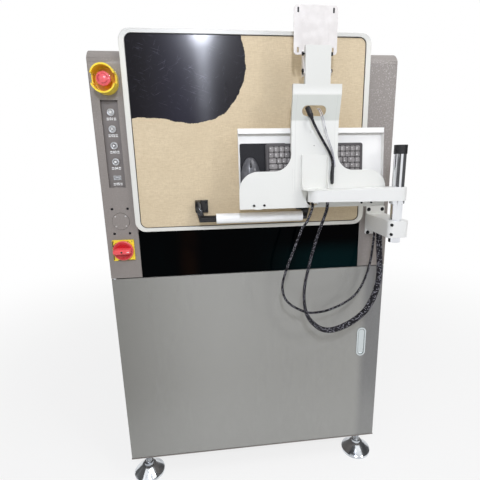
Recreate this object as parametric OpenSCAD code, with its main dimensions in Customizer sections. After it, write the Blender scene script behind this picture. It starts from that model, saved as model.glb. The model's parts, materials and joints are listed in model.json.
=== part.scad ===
// Enclosed laser marking machine: a cabinet on levelling feet with a lifting
// front door, a column of controls and a swing arm that carries a stand for a
// screen, a keyboard and a mouse.
// Millimetres, +Z up. The origin is under the middle of the whole machine, on
// the floor. Modules draw in machine coordinates, where the front face of the
// pillars is Y = 0, and placed() moves them to the origin.

/* [Cabinet] */
// Width of the cabinet
body_w = 950; // [850:10:1100]
// Depth of the cabinet behind its front face
body_d = 950; // [850:10:1200]
// Height of the cabinet above its underside
body_h = 1421; // [1380:1:1500]
// Height of the cabinet's underside above the floor
foot_h = 100; // [85:1:130]
// Height of the split above the lower door
split_h = 718; // [690:1:740]
// Thickness of the sheet that the panels are folded from
sheet_t = 2; // [1.5:0.5:3]
// Open seam between the door and the pillars
seam = 3; // [2:0.5:4]
// Assembly clearance between neighbouring pieces
fit = 0.3; // [0.2:0.05:0.4]
// Radial clearance of pins and shafts in their bores
run_gap = 0.05; // [0.02:0.01:0.08]

/* [Pillars and deck] */
// Width of each front pillar
pillar_w = 102; // [95:1:110]
// Depth of each front pillar
pillar_d = 60; // [58:1:80]
// Thickness of the folded pillar steel
pillar_t = 3; // [2:0.5:4]
// Radius of the curve at the top of the pillars
pillar_top_r = 45; // [20:1:55]
// Radius of the pillars' folded corners
fold_r = 4; // [3.5:0.5:6]
// Height of the chamber floor above the underside
deck_h = 840; // [830:1:842]
// Thickness of the deck plate
deck_t = 3; // [2:0.5:4]
// Thickness of the glossy panel under the lifting door
fascia_t = 4; // [3:0.5:6]

/* [Lower door] */
// Thickness of the folded lower door
low_door_t = 20; // [18:1:20]
// Distance of the hinge pin from the door's left edge
hinge_inset = 10; // [8:1:12]
// Radius of the hinge pins
hinge_pin_r = 5; // [4:0.5:6]
// Distance of the latch from the cabinet's side
latch_inset = 72; // [60:1:90]
// Height of the latch above the underside
latch_h = 420; // [350:1:480]
// Length of the latch plate
latch_len = 116; // [100:1:130]
// Width of the latch plate
latch_w = 35; // [30:1:40]

/* [Lifting door] */
// How far the lifting door laps over each pillar
lift_lap = 4; // [3:0.5:6]
// Height of the lifting door
lift_h = 592; // [580:1:600]
// Height of the lifting door's lower edge above the underside
lift_z = 876; // [876:1:880]
// Thickness of the lifting door
lift_t = 15; // [13:0.5:16]
// Corner radius of the lifting door
lift_r = 33; // [25:1:40]
// Width of the door frame at the sides
band_side = 16; // [14:0.5:20]
// Width of the door frame at the top and bottom
band_end = 12; // [10:0.5:16]
// Width of the back ring that holds the window
back_ring = 35; // [32:1:38]
// Thickness of the acrylic window
window_t = 5; // [4:0.5:6]
// Thickness of the protective paper on the window
film_t = 0.8; // [0.6:0.1:1]
// How far the door lifts
lift_travel = 420; // [380:5:422]

/* [Door handle] */
// Distance between the two handle ends
handle_span = 330; // [300:2:350]
// Height of the handle rod above the door's lower edge
handle_z = 41; // [36:1:60]
// Stand-off of the handle rod from the door face
handle_off = 34; // [32:1:35]
// Radius of the handle rod
handle_r = 10.5; // [9:0.5:11]
// Radius of the grip sleeve
grip_r = 16; // [14:0.5:16.5]
// Bare rod between the left end and the grip sleeve
grip_gap = 37; // [10:1:60]

/* [Door lift] */
// Width of the guide rails
rail_w = 20; // [16:1:22]
// Height of the guide rails from their seat
rail_t = 15; // [12:1:16]
// Height of each carriage
carriage_h = 90; // [70:1:92]
// Outer radius of the lift cylinders
cyl_r = 18; // [16:0.5:19]
// Inner radius of the lift cylinders
cyl_bore_r = 15; // [13:0.5:15]
// Radius of the piston rods
rod_r = 6; // [5:0.5:7]

/* [Controls] */
// Distance of the controls from the cabinet's side
ctrl_inset = 51; // [50:0.5:52]
// Distance of the emergency stop below the cabinet's top
estop_drop = 91; // [85:1:96]
// Radius of the emergency stop's mushroom head
mushroom_r = 20; // [18:0.5:22]
// Gap between the emergency stop's shroud and the control recess
recess_gap = 7; // [6:0.5:12]
// Width of the control recess
recess_w = 50; // [48:1:54]
// Height of the control recess
recess_len = 258; // [252:1:262]
// Depth of the control recess
recess_deep = 12; // [9:1:14]
// Distance between the push buttons
button_step = 49; // [46:0.5:50]
// Radius of the push buttons
button_r = 9; // [8:0.5:10]
// Gap between the control recess and the round blanking plate
blank_gap = 81.5; // [70:0.5:90]
// Radius of the round blanking plate
blank_r = 26.5; // [20:0.5:27]
// Gap between the blanking plate and the main switch
switch_gap = 34; // [30:0.5:40]
// Width of the main switch's square plate
switch_w = 69; // [66:1:72]
// Radius of the main switch's knob
knob_r = 32; // [28:0.5:33]

/* [Mast and arm] */
// Distance of the mast from the cabinet's side
mast_inset = 49; // [48:0.5:51]
// Distance of the mast in front of the pillars
mast_off = 146; // [144:1:160]
// Distance of the bracket's middle below the arm's centreline
bracket_drop = 107; // [105:1:112]
// Width of the bracket
bracket_w = 65; // [64:1:70]
// Height of the bracket's wall plate
bracket_plate_h = 97; // [96:1:100]
// Thickness of the bracket's wall plate
bracket_plate_t = 8; // [7:0.5:10]
// Distance across between the bracket's screws
bolt_x = 48; // [46:0.5:50]
// Distance up between the bracket's screws
bolt_z = 80; // [78:0.5:82]
// Radius of the mast tube
mast_r = 17.5; // [16:0.5:18]
// Wall of the mast tube
mast_wall = 2.5; // [2:0.5:4]
// Height of the mast's top above the arm's centreline
mast_rise = 139; // [125:1:160]
// Height of the arm's centreline above the underside
arm_h = 990; // [988:1:1000]
// Thickness of the arm from front to back
arm_t = 50; // [48:1:50]
// Height of the arm at the mast
arm_hub_h = 40; // [38:0.5:44]
// Height of the arm at its tip
arm_tip_h = 33; // [30:0.5:36]
// Length of the arm between the mast and the stand's pivot
arm_len = 251; // [245:1:260]
// Radius of the pivot pin under the stand
pivot_r = 6; // [5:0.5:8]

/* [Screen stand] */
// Distance of the stand's front face behind the mast's axis
stand_back = 28; // [28:0.5:30]
// Thickness of the stand's sheet steel
stand_t = 2.5; // [2:0.5:3]
// Width of the stand across its wings
wing_w = 450; // [440:1:454]
// Height of the wings
wing_h = 110; // [100:1:112]
// Radius of the wings' upper corners
wing_r = 56; // [40:1:60]
// Distance of the wings' lower edge under the arm's centreline
wing_drop = 38; // [36:1:40]
// Width of the column
column_w = 140; // [130:1:146]
// Radius of the fillets between the wings and the column
fillet_r = 50; // [40:1:60]
// Depth of the column's folded edges
column_edge = 14; // [10:1:16]
// Height of the column below its slanted step
column_h = 250; // [245:1:255]
// Height of the slanted step
slant_h = 71; // [60:1:80]
// How far the step moves the column forward
jog = 18; // [14:1:20]
// Height of the shoulder above the step
shoulder_h = 26; // [24:1:34]
// Width of the neck
neck_w = 72; // [66:1:76]
// Height of the neck
neck_h = 98; // [96:1:104]
// Width and height of the screen plate
vesa_w = 124; // [120:1:130]
// Distance between the screen plate's slots
vesa_pitch = 100; // [98:1:102]
// Length of the screen plate's slots
vesa_slot = 14; // [10:1:16]

/* [Keyboard tray] */
// Width of the keyboard tray
tray_w = 446; // [436:1:450]
// Depth of the keyboard tray from its hinge
tray_d = 224; // [215:1:226]
// Height of the tray's walls
tray_wall_h = 16; // [14:0.5:16]
// Thickness of the tray's sheet
tray_t = 1.5; // [1:0.25:2]
// Angle of the folded tray above level
tray_angle = 85; // [84:0.5:86]
// Width of the keyboard
keyboard_w = 300; // [280:1:304]
// Depth of the keyboard
keyboard_d = 118; // [110:1:120]
// Height of the keyboard's case
keyboard_h = 8; // [6:0.5:9]
// Width of the mouse pad
mat_w = 140; // [120:1:150]
// Depth of the mouse pad
mat_d = 160; // [140:1:170]
// Length of the mouse
mouse_l = 98; // [90:1:100]
// Width of the mouse
mouse_w = 58; // [50:1:60]

/* [Laser and table] */
// Width of the work table
table_w = 420; // [360:10:480]
// Depth of the work table
table_d = 300; // [260:10:320]
// Thickness of the work table
table_t = 20; // [16:1:24]
// Height of the head's column
head_col_h = 500; // [460:10:520]
// Height of the marking lens above the deck
lens_h = 260; // [240:5:280]

/* [Feet] */
// Distance of the feet from the cabinet's sides
foot_inset = 52; // [50:1:75]
// Distance of the feet from the front and back faces
foot_y = 41; // [41:1:60]
// Radius of the foot discs
foot_r = 57; // [50:1:60]
// Radius of the foot studs
stud_r = 12; // [10:0.5:14]

/* [Hidden] */
$fn = 48;

// Cabinet planes
half_w = body_w / 2;
under_z = foot_h;
split_z = under_z + split_h;
top_z = under_z + body_h;
floor_t = 3;
floor_z = under_z + floor_t;
door_back = low_door_t + 4;
inner_w = half_w - pillar_w;
deck_z = under_z + deck_h;
lift_bottom = under_z + lift_z;
lift_back = 1;
lift_front = lift_back + lift_t;
lift_w = 2 * (inner_w + lift_lap);
latch_x = half_w - latch_inset;
ctrl_x = half_w - ctrl_inset;
mast_x = half_w - mast_inset;
tip_x = mast_x - arm_len;
foot_x = half_w - foot_inset;
// Heights of the controls, from the top down
shroud_len = 92;
estop_z = top_z - estop_drop;
recess_z = estop_z - shroud_len / 2 - recess_gap - recess_len / 2;
blank_z = recess_z - recess_len / 2 - blank_gap - blank_r;
switch_z = blank_z - blank_r - switch_gap - switch_w / 2;
// Clamp block at the end of the bracket
clamp_half = 26;
gland_len = 28;
mid_y = (body_d + gland_len - mast_off - clamp_half) / 2;
// Stand planes
arm_z = under_z + arm_h;
arm_top = arm_z + arm_tip_h / 2;
mast_top = arm_z + mast_rise;
wing_z = arm_z - wing_drop;
slant_z = wing_z + column_h;
shoulder_z = slant_z + slant_h;
neck_z = shoulder_z + shoulder_h;
face_y = stand_back - mast_off;
step_y = face_y - jog;
// Tilt pivot of the screen plate
tilt_y = step_y + 12;
tilt_z = neck_z + 36;
tilt_lift = 43;
screen_y = step_y + 32;
screen_z = neck_z + 144;
// Hinge of the keyboard tray
tray_y = face_y + stand_t + 9.5;
tray_z = wing_z + 10;
tray_floor = 4 - tray_wall_h;
desk_z = tray_floor + tray_t;
pad_t = 2;

// Cords, as points chosen along their hanging routes, measured from the mast at arm height
lead_d = 7;
lead_route = [[-266, 9, 218], [-265, 6.6, 212.6], [-260.5, 7, 203], [-251, 9, 187],
    [-240, 12, 170], [-227, 15.5, 151], [-214, 18, 132], [-204, 20, 114], [-198.5, 22, 100],
    [-197, 23, 90], [-197, 23, 80]];
braid_d = 9;
loom_d = 17;
braid_route = [[-217, 0, -17], [-218, 1, -40], [-225, 8, -71], [-240, 14, -121], [-256, 17, -180],
    [-266, 21, -231], [-274, 25, -278], [-276, 29, -324], [-271, 33, -368], [-259, 36, -402],
    [-238, 40, -430], [-209, 44, -453], [-176, 48, -461], [-136, 52, -454], [-96, 56, -437],
    [-58, 59, -409], [-33, 63, -375], [-16, 67, -338], [-6, 71, -295], [-4, 75, -248],
    [-6, 79, -203], [-8, 83, -162], [-8, 86, -137], [-7, 93, -118], [-4, 108, -108],
    [-1, 126, -107], [0, 142, -107]];
thin_d = 6;
thin_route = [[-254, 35, -27.75], [-254.5, 27, -29.75], [-257, 20, -39], [-265, 16, -60],
    [-276, 15, -82], [-289, 16, -100], [-302, 18, -135], [-316, 22, -176], [-330, 26, -218],
    [-341, 30, -256], [-346, 34, -287], [-340, 38, -323], [-323, 42, -351], [-292, 46, -375],
    [-257, 48, -391], [-226, 60, -399], [-188, 64, -396], [-146, 68, -384], [-104, 71, -363],
    [-76, 74, -337], [-56, 77, -302], [-43, 80, -268], [-34, 82, -231], [-29, 85, -197],
    [-25, 88, -165], [-22, 92, -135], [-21, 96, -115]];

// ---------------------------------------------------------------- helpers

module placed() translate([0, -mid_y, 0]) children();

module both_sides() {
    children();
    mirror([1, 0, 0]) children();
}

// Box between two corners
module block(a, b) translate(a) cube(b - a);

// Rounded rectangle about the origin
module rounded(w, h, r) {
    square([w - 2 * r, h], center = true);
    square([w, h - 2 * r], center = true);
    for (x = [-1, 1], y = [-1, 1])
        translate([x * (w / 2 - r), y * (h / 2 - r)]) circle(r);
}

// Slot with round ends, its length along the second axis
module slot_2d(w, length) {
    square([w, length - w], center = true);
    for (y = [-1, 1]) translate([0, y * (length - w) / 2]) circle(w / 2);
}

// Extrudes an outline in X and Z from y0 backwards by t
module upright(y0, t) translate([0, y0 + t, 0]) rotate([90, 0, 0]) linear_extrude(t) children();

// Extrudes an outline in Y and Z between two X planes
module sideways(x0, x1) translate([x0, 0, 0]) rotate([90, 0, 90]) linear_extrude(x1 - x0) children();

// Round bar along Y or X
module bar_y(r, y0, y1) translate([0, y0, 0]) rotate([-90, 0, 0]) cylinder(r = r, h = y1 - y0);
module bar_x(r, x0, x1) translate([x0, 0, 0]) rotate([0, 90, 0]) cylinder(r = r, h = x1 - x0);

module at(x, z) translate([x, 0, z]) children();

// Draws from the mast's axis at the height of the arm
module from_mast() placed() translate([mast_x, -mast_off, arm_z]) children();

// Socket head screw along +Y, its head's seat at Y = 0
module socket_screw(r, head_r, head_h, length) difference() {
    union() {
        bar_y(head_r, -head_h, 0);
        bar_y(r, 0, length);
    }
    rotate([90, 0, 0]) translate([0, 0, head_h / 3]) cylinder(r = head_r / 2, h = head_h, $fn = 6);
}

// Tube swept along a route; the radius grows from r0 to r1 between two shares of its length
function unit(v) = v / norm(v);
function ring_dir(p, i) = unit(p[min(i + 1, len(p) - 1)] - p[max(i - 1, 0)]);
function ring_side(d) = unit(cross(d, abs(d[2]) < 0.9 ? [0, 0, 1] : [0, 1, 0]));
function carried(p, i) = i == 0 ? ring_side(ring_dir(p, 0))
    : let (d = ring_dir(p, i), s = carried(p, i - 1)) unit(s - d * (s * d));
function ramp(t, a, b) = t < a ? 0 : t > b ? 1 : (t - a) / (b - a);

module swept(p, r0, r1, from, to, sides) {
    n = len(p);
    points = [for (i = [0:n - 1])
        let (d = ring_dir(p, i), s = carried(p, i), u = cross(d, s),
            r = r0 + (r1 - r0) * ramp(i / (n - 1), from, to))
        for (k = [0:sides - 1])
            p[i] + r * (cos(360 * k / sides) * s + sin(360 * k / sides) * u)];
    walls = [for (i = [0:n - 2], k = [0:sides - 1])
        let (a = i * sides + k, b = i * sides + (k + 1) % sides)
        [a, a + sides, b + sides, b]];
    ends = [[for (k = [0:sides - 1]) k], [for (k = [sides - 1:-1:0]) (n - 1) * sides + k]];
    polyhedron(points, concat(walls, ends));
}

// ---------------------------------------------------------------- cabinet

module base_frame() color([0.55, 0.54, 0.51]) placed() {
    side = half_w - sheet_t - fit;
    back = body_d - sheet_t - fit;
    flange = 36;
    pad_side = 33;
    difference() {
        union() {
            block([-half_w, 0, under_z], [half_w, door_back, floor_z]);
            block([-side, door_back, under_z], [side, back, floor_z]);
            both_sides() block([side - sheet_t, door_back + 40, floor_z],
                [side, back, floor_z + flange]);
            block([-side + 60, door_back + fit, floor_z],
                [side - 60, door_back + fit + sheet_t, floor_z + flange]);
            block([-side, back - sheet_t, floor_z], [side, back, floor_z + flange]);
            for (x = [-1, 1], y = [foot_y, body_d - foot_y])
                translate([x * foot_x, y, floor_z]) linear_extrude(8) square(pad_side, center = true);
        }
        for (x = [-1, 1], y = [foot_y, body_d - foot_y])
            translate([x * foot_x, y, under_z - 1]) cylinder(r = stud_r + fit, h = 20);
        translate([-half_w + hinge_inset, hinge_inset, under_z - 1])
            cylinder(r = hinge_pin_r + run_gap, h = floor_t + 2);
    }
}

side_flange = 18;

module side_panel() {
    low = split_z - fit;
    back = body_d - sheet_t - fit;
    flange = side_flange;
    sideways(half_w - sheet_t, half_w) polygon([
        [door_back, under_z + floor_t + fit], [back, under_z + floor_t + fit],
            [back, top_z - sheet_t - fit],
        [pillar_d + fit, top_z - sheet_t - fit], [pillar_d + fit, low], [door_back, low]]);
    block([half_w - flange, door_back, floor_z + fit], [half_w - sheet_t, door_back + sheet_t, low]);
    block([half_w - flange, pillar_d + fit, low],
        [half_w - sheet_t, pillar_d + fit + sheet_t, top_z - sheet_t - fit]);
    block([half_w - flange, back - sheet_t, floor_z + 40], [half_w - sheet_t, back, top_z - 30]);
}

module left_side_panel() color([0.56, 0.53, 0.5]) placed() mirror([1, 0, 0]) side_panel();
module right_side_panel() color([0.56, 0.53, 0.5]) placed() side_panel();

// Where the mains cable enters, low on the back
gland_x = 330;
gland_z = under_z + 120;
vent_w = 220;
vent_rows = 9;
vent_step = 18;

module back_panel() color([0.56, 0.53, 0.5]) placed() {
    difference() {
        union() {
            block([-half_w, body_d - sheet_t, under_z], [half_w, body_d, top_z - sheet_t - fit]);
            // Hoods over the louvres
            for (x = [-1, 1], k = [0:vent_rows - 1])
                translate([x * 230, body_d, under_z + 300 + k * vent_step])
                    sideways(-vent_w / 2, vent_w / 2)
                    polygon([[0, 0], [5, 0], [0, 10]]);
        }
        for (x = [-1, 1], k = [0:vent_rows - 1])
            translate([x * 230, 0, under_z + 300 + k * vent_step])
                block([4 - vent_w / 2, body_d - sheet_t - 1, -1], [vent_w / 2 - 4, body_d + 3, 5]);
        at(gland_x, gland_z) bar_y(12.3, body_d - 10, body_d + 10);
    }
    // Cable gland of the mains inlet
    at(gland_x, gland_z) difference() {
        union() {
            bar_y(12, body_d - 12, body_d);
            translate([0, body_d, 0]) rotate([-90, 0, 0]) cylinder(r = 17, h = 9, $fn = 6);
            bar_y(13, body_d + 9, body_d + gland_len);
        }
        bar_y(7, body_d - 13, body_d + gland_len + 1);
    }
}

module roof_panel() color([0.56, 0.53, 0.5]) placed() {
    lip = 24;
    block([-half_w, pillar_d + fit, top_z - sheet_t], [half_w, body_d, top_z]);
    block([-inner_w + fit, 0, top_z - sheet_t], [inner_w - fit, pillar_d + fit, top_z]);
    both_sides() block([half_w - 2 * sheet_t - fit, pillar_d + 40, top_z - lip],
        [half_w - sheet_t - fit, body_d - 60, top_z - sheet_t]);
    block([-half_w + 20, body_d - 2 * sheet_t - fit, top_z - lip],
        [half_w - 20, body_d - sheet_t - fit, top_z - sheet_t]);
}

// Plan of a pillar with folded front corners, drawn for the right side and inset by a wall
module pillar_plan(inset, open) {
    w = pillar_w - 2 * inset;
    r = fold_r - inset;
    d = pillar_d - inset + open;
    translate([inner_w + inset, inset]) {
        if (r > 0) {
            translate([r, r]) circle(r);
            translate([w - r, r]) circle(r);
            translate([r, 0]) square([w - 2 * r, d]);
            translate([0, r]) square([w, d - r]);
        } else {
            square([w, d]);
        }
    }
}

// Side outline of a pillar, its top front edge curved back
module pillar_side(inset, open) {
    r = pillar_top_r - inset;
    z0 = split_z + seam / 2 + inset;
    z1 = top_z - inset;
    y1 = pillar_d + open;
    translate([inset + r, z1 - r]) circle(r);
    translate([inset, z0]) square([y1 - inset, z1 - r - z0]);
    translate([inset + r, z0]) square([y1 - inset - r, z1 - z0]);
}

module pillar_form(inset, open) intersection() {
    translate([0, 0, under_z]) linear_extrude(body_h + 10) pillar_plan(inset, open);
    sideways(inner_w - 1, half_w + 1) pillar_side(inset, open);
}

module pillar() difference() {
    pillar_form(0, 0);
    pillar_form(pillar_t, 10);
}

module bolt_holes(r, x, z, y0, y1)
    for (dx = [-1, 1], dz = [-1, 1]) at(x + dx * bolt_x / 2, z + dz * bolt_z / 2) bar_y(r, y0, y1);

bolt_hole_r = 4.25;
cable_hole_r = 18;

module left_pillar() color([0.57, 0.53, 0.49]) placed() difference() {
    mirror([1, 0, 0]) pillar();
    at(-ctrl_x, recess_z) upright(-1, pillar_t + 2)
        square([recess_w, recess_len], center = true);
    at(-ctrl_x, estop_z) bar_y(11.2, -1, pillar_t + 1);
    at(-ctrl_x, blank_z) bar_y(blank_r - 3, -1, pillar_t + 1);
    bolt_holes(bolt_hole_r, -ctrl_x, blank_z, -1, pillar_t + 1);
    at(-ctrl_x, switch_z) bar_y(switch_neck_r + fit, -1, pillar_t + 1);
    translate([-half_w + hinge_inset, hinge_inset, split_z]) cylinder(r = hinge_pin_r + run_gap, h = 20);
}

module right_pillar() color([0.57, 0.53, 0.49]) placed() difference() {
    pillar();
    bolt_holes(bolt_hole_r, mast_x, bracket_z, -1, pillar_t + 1);
    at(mast_x, bracket_z) bar_y(cable_hole_r, -1, pillar_t + 1);
}

module deck_plate() color([0.62, 0.62, 0.6]) placed() {
    front = fascia_t + fit;
    side = half_w - sheet_t - fit;
    between = half_w - side_flange - fit;
    low = split_z + seam / 2;
    difference() {
        union() {
            block([-inner_w + fit, front, deck_z - deck_t], [inner_w - fit, pillar_d + fit, deck_z]);
            block([-between, pillar_d + fit, deck_z - deck_t],
                [between, body_d - sheet_t - fit, deck_z]);
            block([-side, pillar_d + sheet_t + 2 * fit, deck_z - deck_t],
                [side, body_d - 2 * sheet_t - 2 * fit, deck_z]);
            block([-inner_w + fit, front, low], [inner_w - fit, front + deck_t, deck_z]);
            block([-inner_w + fit, front, low], [inner_w - fit, low_door_t - 1, low + deck_t]);
            both_sides() block([side - deck_t, pillar_d + 40, deck_z - 30], [side, body_d - 60, deck_z]);
        }
        both_sides() translate([cyl_x, cyl_y, deck_z - deck_t - 1])
            cylinder(r = cyl_r + fit, h = deck_t + 2);
    }
}

module fascia_panel() color([0.03, 0.03, 0.04]) placed()
    block([-inner_w + fit, fit, split_z + seam / 2],
        [inner_w - fit, fit + fascia_t, lift_bottom - seam]);

// ---------------------------------------------------------------- lower door

door_wall = 2;
door_half = half_w - 0.5;
door_low = floor_z + 2;
door_top = split_z - seam / 2;
latch_z = under_z + latch_h;
latch_deep = 17;
paddle_w = latch_w - 13;
paddle_y = 3.5;
paddle_z = latch_z + latch_len / 2 - 21;

module lower_door() color([0.59, 0.6, 0.58]) placed() {
    r = fold_r;
    difference() {
        translate([0, 0, door_low]) linear_extrude(door_top - door_low) {
            both_sides() translate([door_half - r, r]) circle(r);
            translate([-door_half + r, 0]) square([2 * (door_half - r), low_door_t]);
            translate([-door_half, r]) square([2 * door_half, low_door_t - r]);
        }
        block([-door_half + door_wall, door_wall, door_low + door_wall],
            [door_half - door_wall, low_door_t + 1, door_top - door_wall]);
        at(latch_x, latch_z) upright(-1, door_wall + 2)
            slot_2d(latch_w - 6 + 2 * fit, latch_len - 6 + 2 * fit);
        translate([-half_w + hinge_inset, hinge_inset, door_low - 1])
            cylinder(r = hinge_pin_r + run_gap, h = body_h);
    }
    // Hat-shaped stiffeners behind the door's skin
    for (x = [-160, 160]) difference() {
        block([x - 25, door_wall, door_low + 30], [x + 25, low_door_t - 6, door_top - 30]);
        block([x - 23, door_wall - 1, door_low + 29], [x + 23, low_door_t - 8, door_top - 29]);
    }
}

module door_pivot_pins() color("silver") placed() translate([-half_w + hinge_inset, hinge_inset, 0]) {
    collar = 3;
    translate([0, 0, under_z]) cylinder(r = hinge_pin_r, h = floor_t + 18);
    translate([0, 0, floor_z]) cylinder(r = hinge_pin_r + collar, h = door_low - fit - floor_z);
    translate([0, 0, door_top - 14]) cylinder(r = hinge_pin_r, h = 14 + seam + pillar_t);
    translate([0, 0, door_top + fit]) cylinder(r = hinge_pin_r + collar, h = seam - fit);
}

module latch_body() color([0.85, 0.87, 0.88]) placed() at(latch_x, latch_z) difference() {
    union() {
        upright(-2.5, 2.5) slot_2d(latch_w, latch_len);
        upright(0, latch_deep) slot_2d(latch_w - 6, latch_len - 6);
    }
    upright(-3, latch_deep + 0.5) slot_2d(latch_w - 11, latch_len - 11);
    translate([0, paddle_y, paddle_z - latch_z])
        bar_x(2 + run_gap, 7 - latch_w / 2 - 6, latch_w / 2 - 7 + 6);
}

module latch_paddle() color([0.8, 0.83, 0.85]) placed() at(latch_x, 0) {
    translate([0, 0, latch_z]) difference() {
        upright(-1.5, 6.5) slot_2d(paddle_w, latch_len - 15);
        // Finger dish near the lower end
        translate([0, -1.5, 20 - latch_len / 2]) upright(-1, 3) rounded(paddle_w - 6, 20, 4);
    }
    translate([0, paddle_y, paddle_z]) bar_x(2, -latch_w / 2 + 4, latch_w / 2 - 4);
}

// ---------------------------------------------------------------- lifting door

pocket = 4 + window_t;
film_y = pocket - window_t - lift_front;
tear = [[-359, 346], [-300, 348], [-255, 343], [-222, 336], [-180, 332], [-142, 337], [-115, 345],
    [-77, 365], [-46, 402], [-27, 437], [-14, 509], [-15, 531], [-29, 580]];

module in_door(x = 0, z = lift_h / 2) at(x, lift_bottom + z) children();

module lift_door_frame() color([0.92, 0.91, 0.86]) placed() in_door() difference() {
    upright(-lift_front, lift_t) rounded(lift_w, lift_h, lift_r);
    upright(-lift_front - 1, pocket + 1)
        rounded(lift_w - 2 * band_side, lift_h - 2 * band_end, lift_r - band_end);
    upright(-lift_front - 1, lift_t + 2)
        rounded(lift_w - 2 * back_ring, lift_h - 2 * back_ring, 12);
}

module lift_door_window() color([0.09, 0.08, 0.09, 0.9]) placed() in_door()
    upright(film_y, window_t)
        rounded(lift_w - 2 * band_side - 2 * fit, lift_h - 2 * band_end - 2 * fit,
            lift_r - band_end - fit);

module window_film() color([0.84, 0.77, 0.64]) placed() in_door(0, 0)
    upright(film_y - film_t, film_t) intersection() {
        translate([0, lift_h / 2]) rounded(lift_w - 2 * band_side - 4, lift_h - 2 * band_end - 4,
            lift_r - band_end - 2);
        polygon(concat(tear, [[lift_w / 2, lift_h], [lift_w / 2, 0], [-lift_w / 2, 0],
            [-lift_w / 2, 346]]));
    }

handle_y = -lift_front - handle_off;
pad_w = 40;
lug_half = 8;
pad_h = 6;
pad_z = handle_z + 36;

module handle_bar() color([0.05, 0.05, 0.05]) placed() {
    seat = film_y - film_t;
    both_sides() in_door(handle_span / 2, 0) {
        translate([0, 0, pad_z]) upright(seat - pad_h, pad_h) rounded(pad_w, pad_w, 6);
        sideways(-lug_half, lug_half) {
            translate([handle_y, handle_z]) circle(handle_r + 3.5);
            polygon([[seat - 1, pad_z + 17], [seat - 1, pad_z - 17], [handle_y + 4, handle_z - 13],
                [handle_y - 13.5, handle_z + 4]]);
        }
    }
    in_door(0, handle_z) translate([0, handle_y, 0]) bar_x(handle_r, -handle_span / 2, handle_span / 2);
}

module handle_grip() color([0.93, 0.92, 0.89]) placed() {
    inside = handle_span / 2 - lug_half;
    in_door(0, handle_z) translate([0, handle_y, 0]) difference() {
        bar_x(grip_r, grip_gap - inside, inside - 1);
        bar_x(handle_r + run_gap, grip_gap - inside - 1, inside);
    }
}

// ---------------------------------------------------------------- door lift

rail_y = 22;
cyl_x = inner_w - 23;
cyl_y = 40;
carriage_z = lift_bottom + 24;
cyl_low = deck_z - lift_travel - 40;
rail_low = lift_bottom + 9;

module guide_rails() color("silver") placed() both_sides()
    translate([0, 0, rail_low]) linear_extrude(top_z - pillar_t - 2 - rail_low) difference() {
        translate([inner_w - rail_t, rail_y]) square([rail_t, rail_w]);
        for (y = [rail_y, rail_y + rail_w]) translate([inner_w - rail_t / 2, y]) circle(2);
    }

module door_carriages() color([0.3, 0.31, 0.33]) placed() both_sides() difference() {
    union() {
        block([inner_w - rail_t - 18, rail_y - 8, carriage_z],
            [inner_w - 2, rail_y + rail_w + 8, carriage_z + carriage_h]);
        block([inner_w - rail_t - 13, -lift_back, carriage_z],
            [inner_w - rail_t - 1, rail_y, carriage_z + carriage_h]);
    }
    block([inner_w - rail_t - fit, rail_y - fit, carriage_z - 1],
        [inner_w, rail_y + rail_w + fit, carriage_z + carriage_h + 1]);
}

module lift_cylinders() color([0.75, 0.76, 0.78]) placed() both_sides() translate([cyl_x, cyl_y, 0])
    difference() {
    union() {
        translate([0, 0, cyl_low]) cylinder(r = cyl_r, h = deck_z - cyl_low);
        translate([0, 0, deck_z]) cylinder(r = cyl_r + 4, h = 8);
    }
    translate([0, 0, cyl_low + 10]) cylinder(r = cyl_bore_r, h = deck_z - cyl_low - 14);
    translate([0, 0, cyl_low + 20]) cylinder(r = rod_r + run_gap, h = deck_z - cyl_low);
}

module lift_rods() color("lightgray") placed() both_sides() translate([cyl_x, cyl_y, 0]) {
    translate([0, 0, cyl_low + 12]) cylinder(r = cyl_bore_r - run_gap, h = 14);
    translate([0, 0, cyl_low + 12]) cylinder(r = rod_r, h = carriage_z - cyl_low - 12);
}

// ---------------------------------------------------------------- controls

switch_neck_r = 7.5;
switch_shaft_r = 5;
button_top = 96;
function button_z(k) = recess_z + button_top - k * button_step;

module estop_shroud() color([0.95, 0.8, 0.12]) placed() at(-ctrl_x, estop_z) {
    w = 80;
    length = shroud_len;
    deep = 42;
    wall = 5;
    difference() {
        union() {
            upright(-deep, deep) slot_2d(w, length);
            bar_y(11, -1, pillar_t + 6);
            block([-19, pillar_t + fit, -17], [19, pillar_t + 38, 17]);
        }
        upright(-deep - 1, deep - wall) slot_2d(w - 2 * wall, length - 2 * wall);
        // Side notches for turning the head
        block([-w, -deep - 1, -15], [w, -24, 15]);
        bar_y(7 + run_gap, -deep, pillar_t + 12);
    }
}

module estop_button() color([0.85, 0.12, 0.15]) placed() at(-ctrl_x, estop_z)
    rotate([90, 0, 0]) rotate_extrude() {
        square([7, 24 + pillar_t]);
        translate([0, -pillar_t]) square([7, 8]);
        translate([0, 16]) square([mushroom_r - 6, 10]);
        translate([0, 24]) square([mushroom_r, 8]);
        intersection() {
            translate([0, 24 + 16 - 38]) circle(38, $fn = 96);
            translate([0, 30]) square([mushroom_r, 12]);
        }
    }

module control_panel() color([0.45, 0.44, 0.42]) placed() at(-ctrl_x, 0) difference() {
    z = recess_z;
    union() {
        at(0, z) upright(pillar_t, 2) square([recess_w + 16, recess_len + 16], center = true);
        at(0, z) upright(pillar_t, recess_deep - pillar_t + 2)
            square([recess_w + 4, recess_len + 4], center = true);
    }
    difference() {
        at(0, z) upright(-1, recess_deep + 1) square([recess_w, recess_len], center = true);
        for (k = [0:3]) at(0, button_z(k)) bar_y(button_r + 3.5, recess_deep - 3, recess_deep + 1);
    }
    for (k = [0:3]) at(0, button_z(k)) bar_y(button_r + fit, 0, recess_deep + 4);
    at(0, button_z(4)) upright(0, recess_deep + 4) square([16 + 2 * fit, 9 + 2 * fit], center = true);
}

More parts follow.
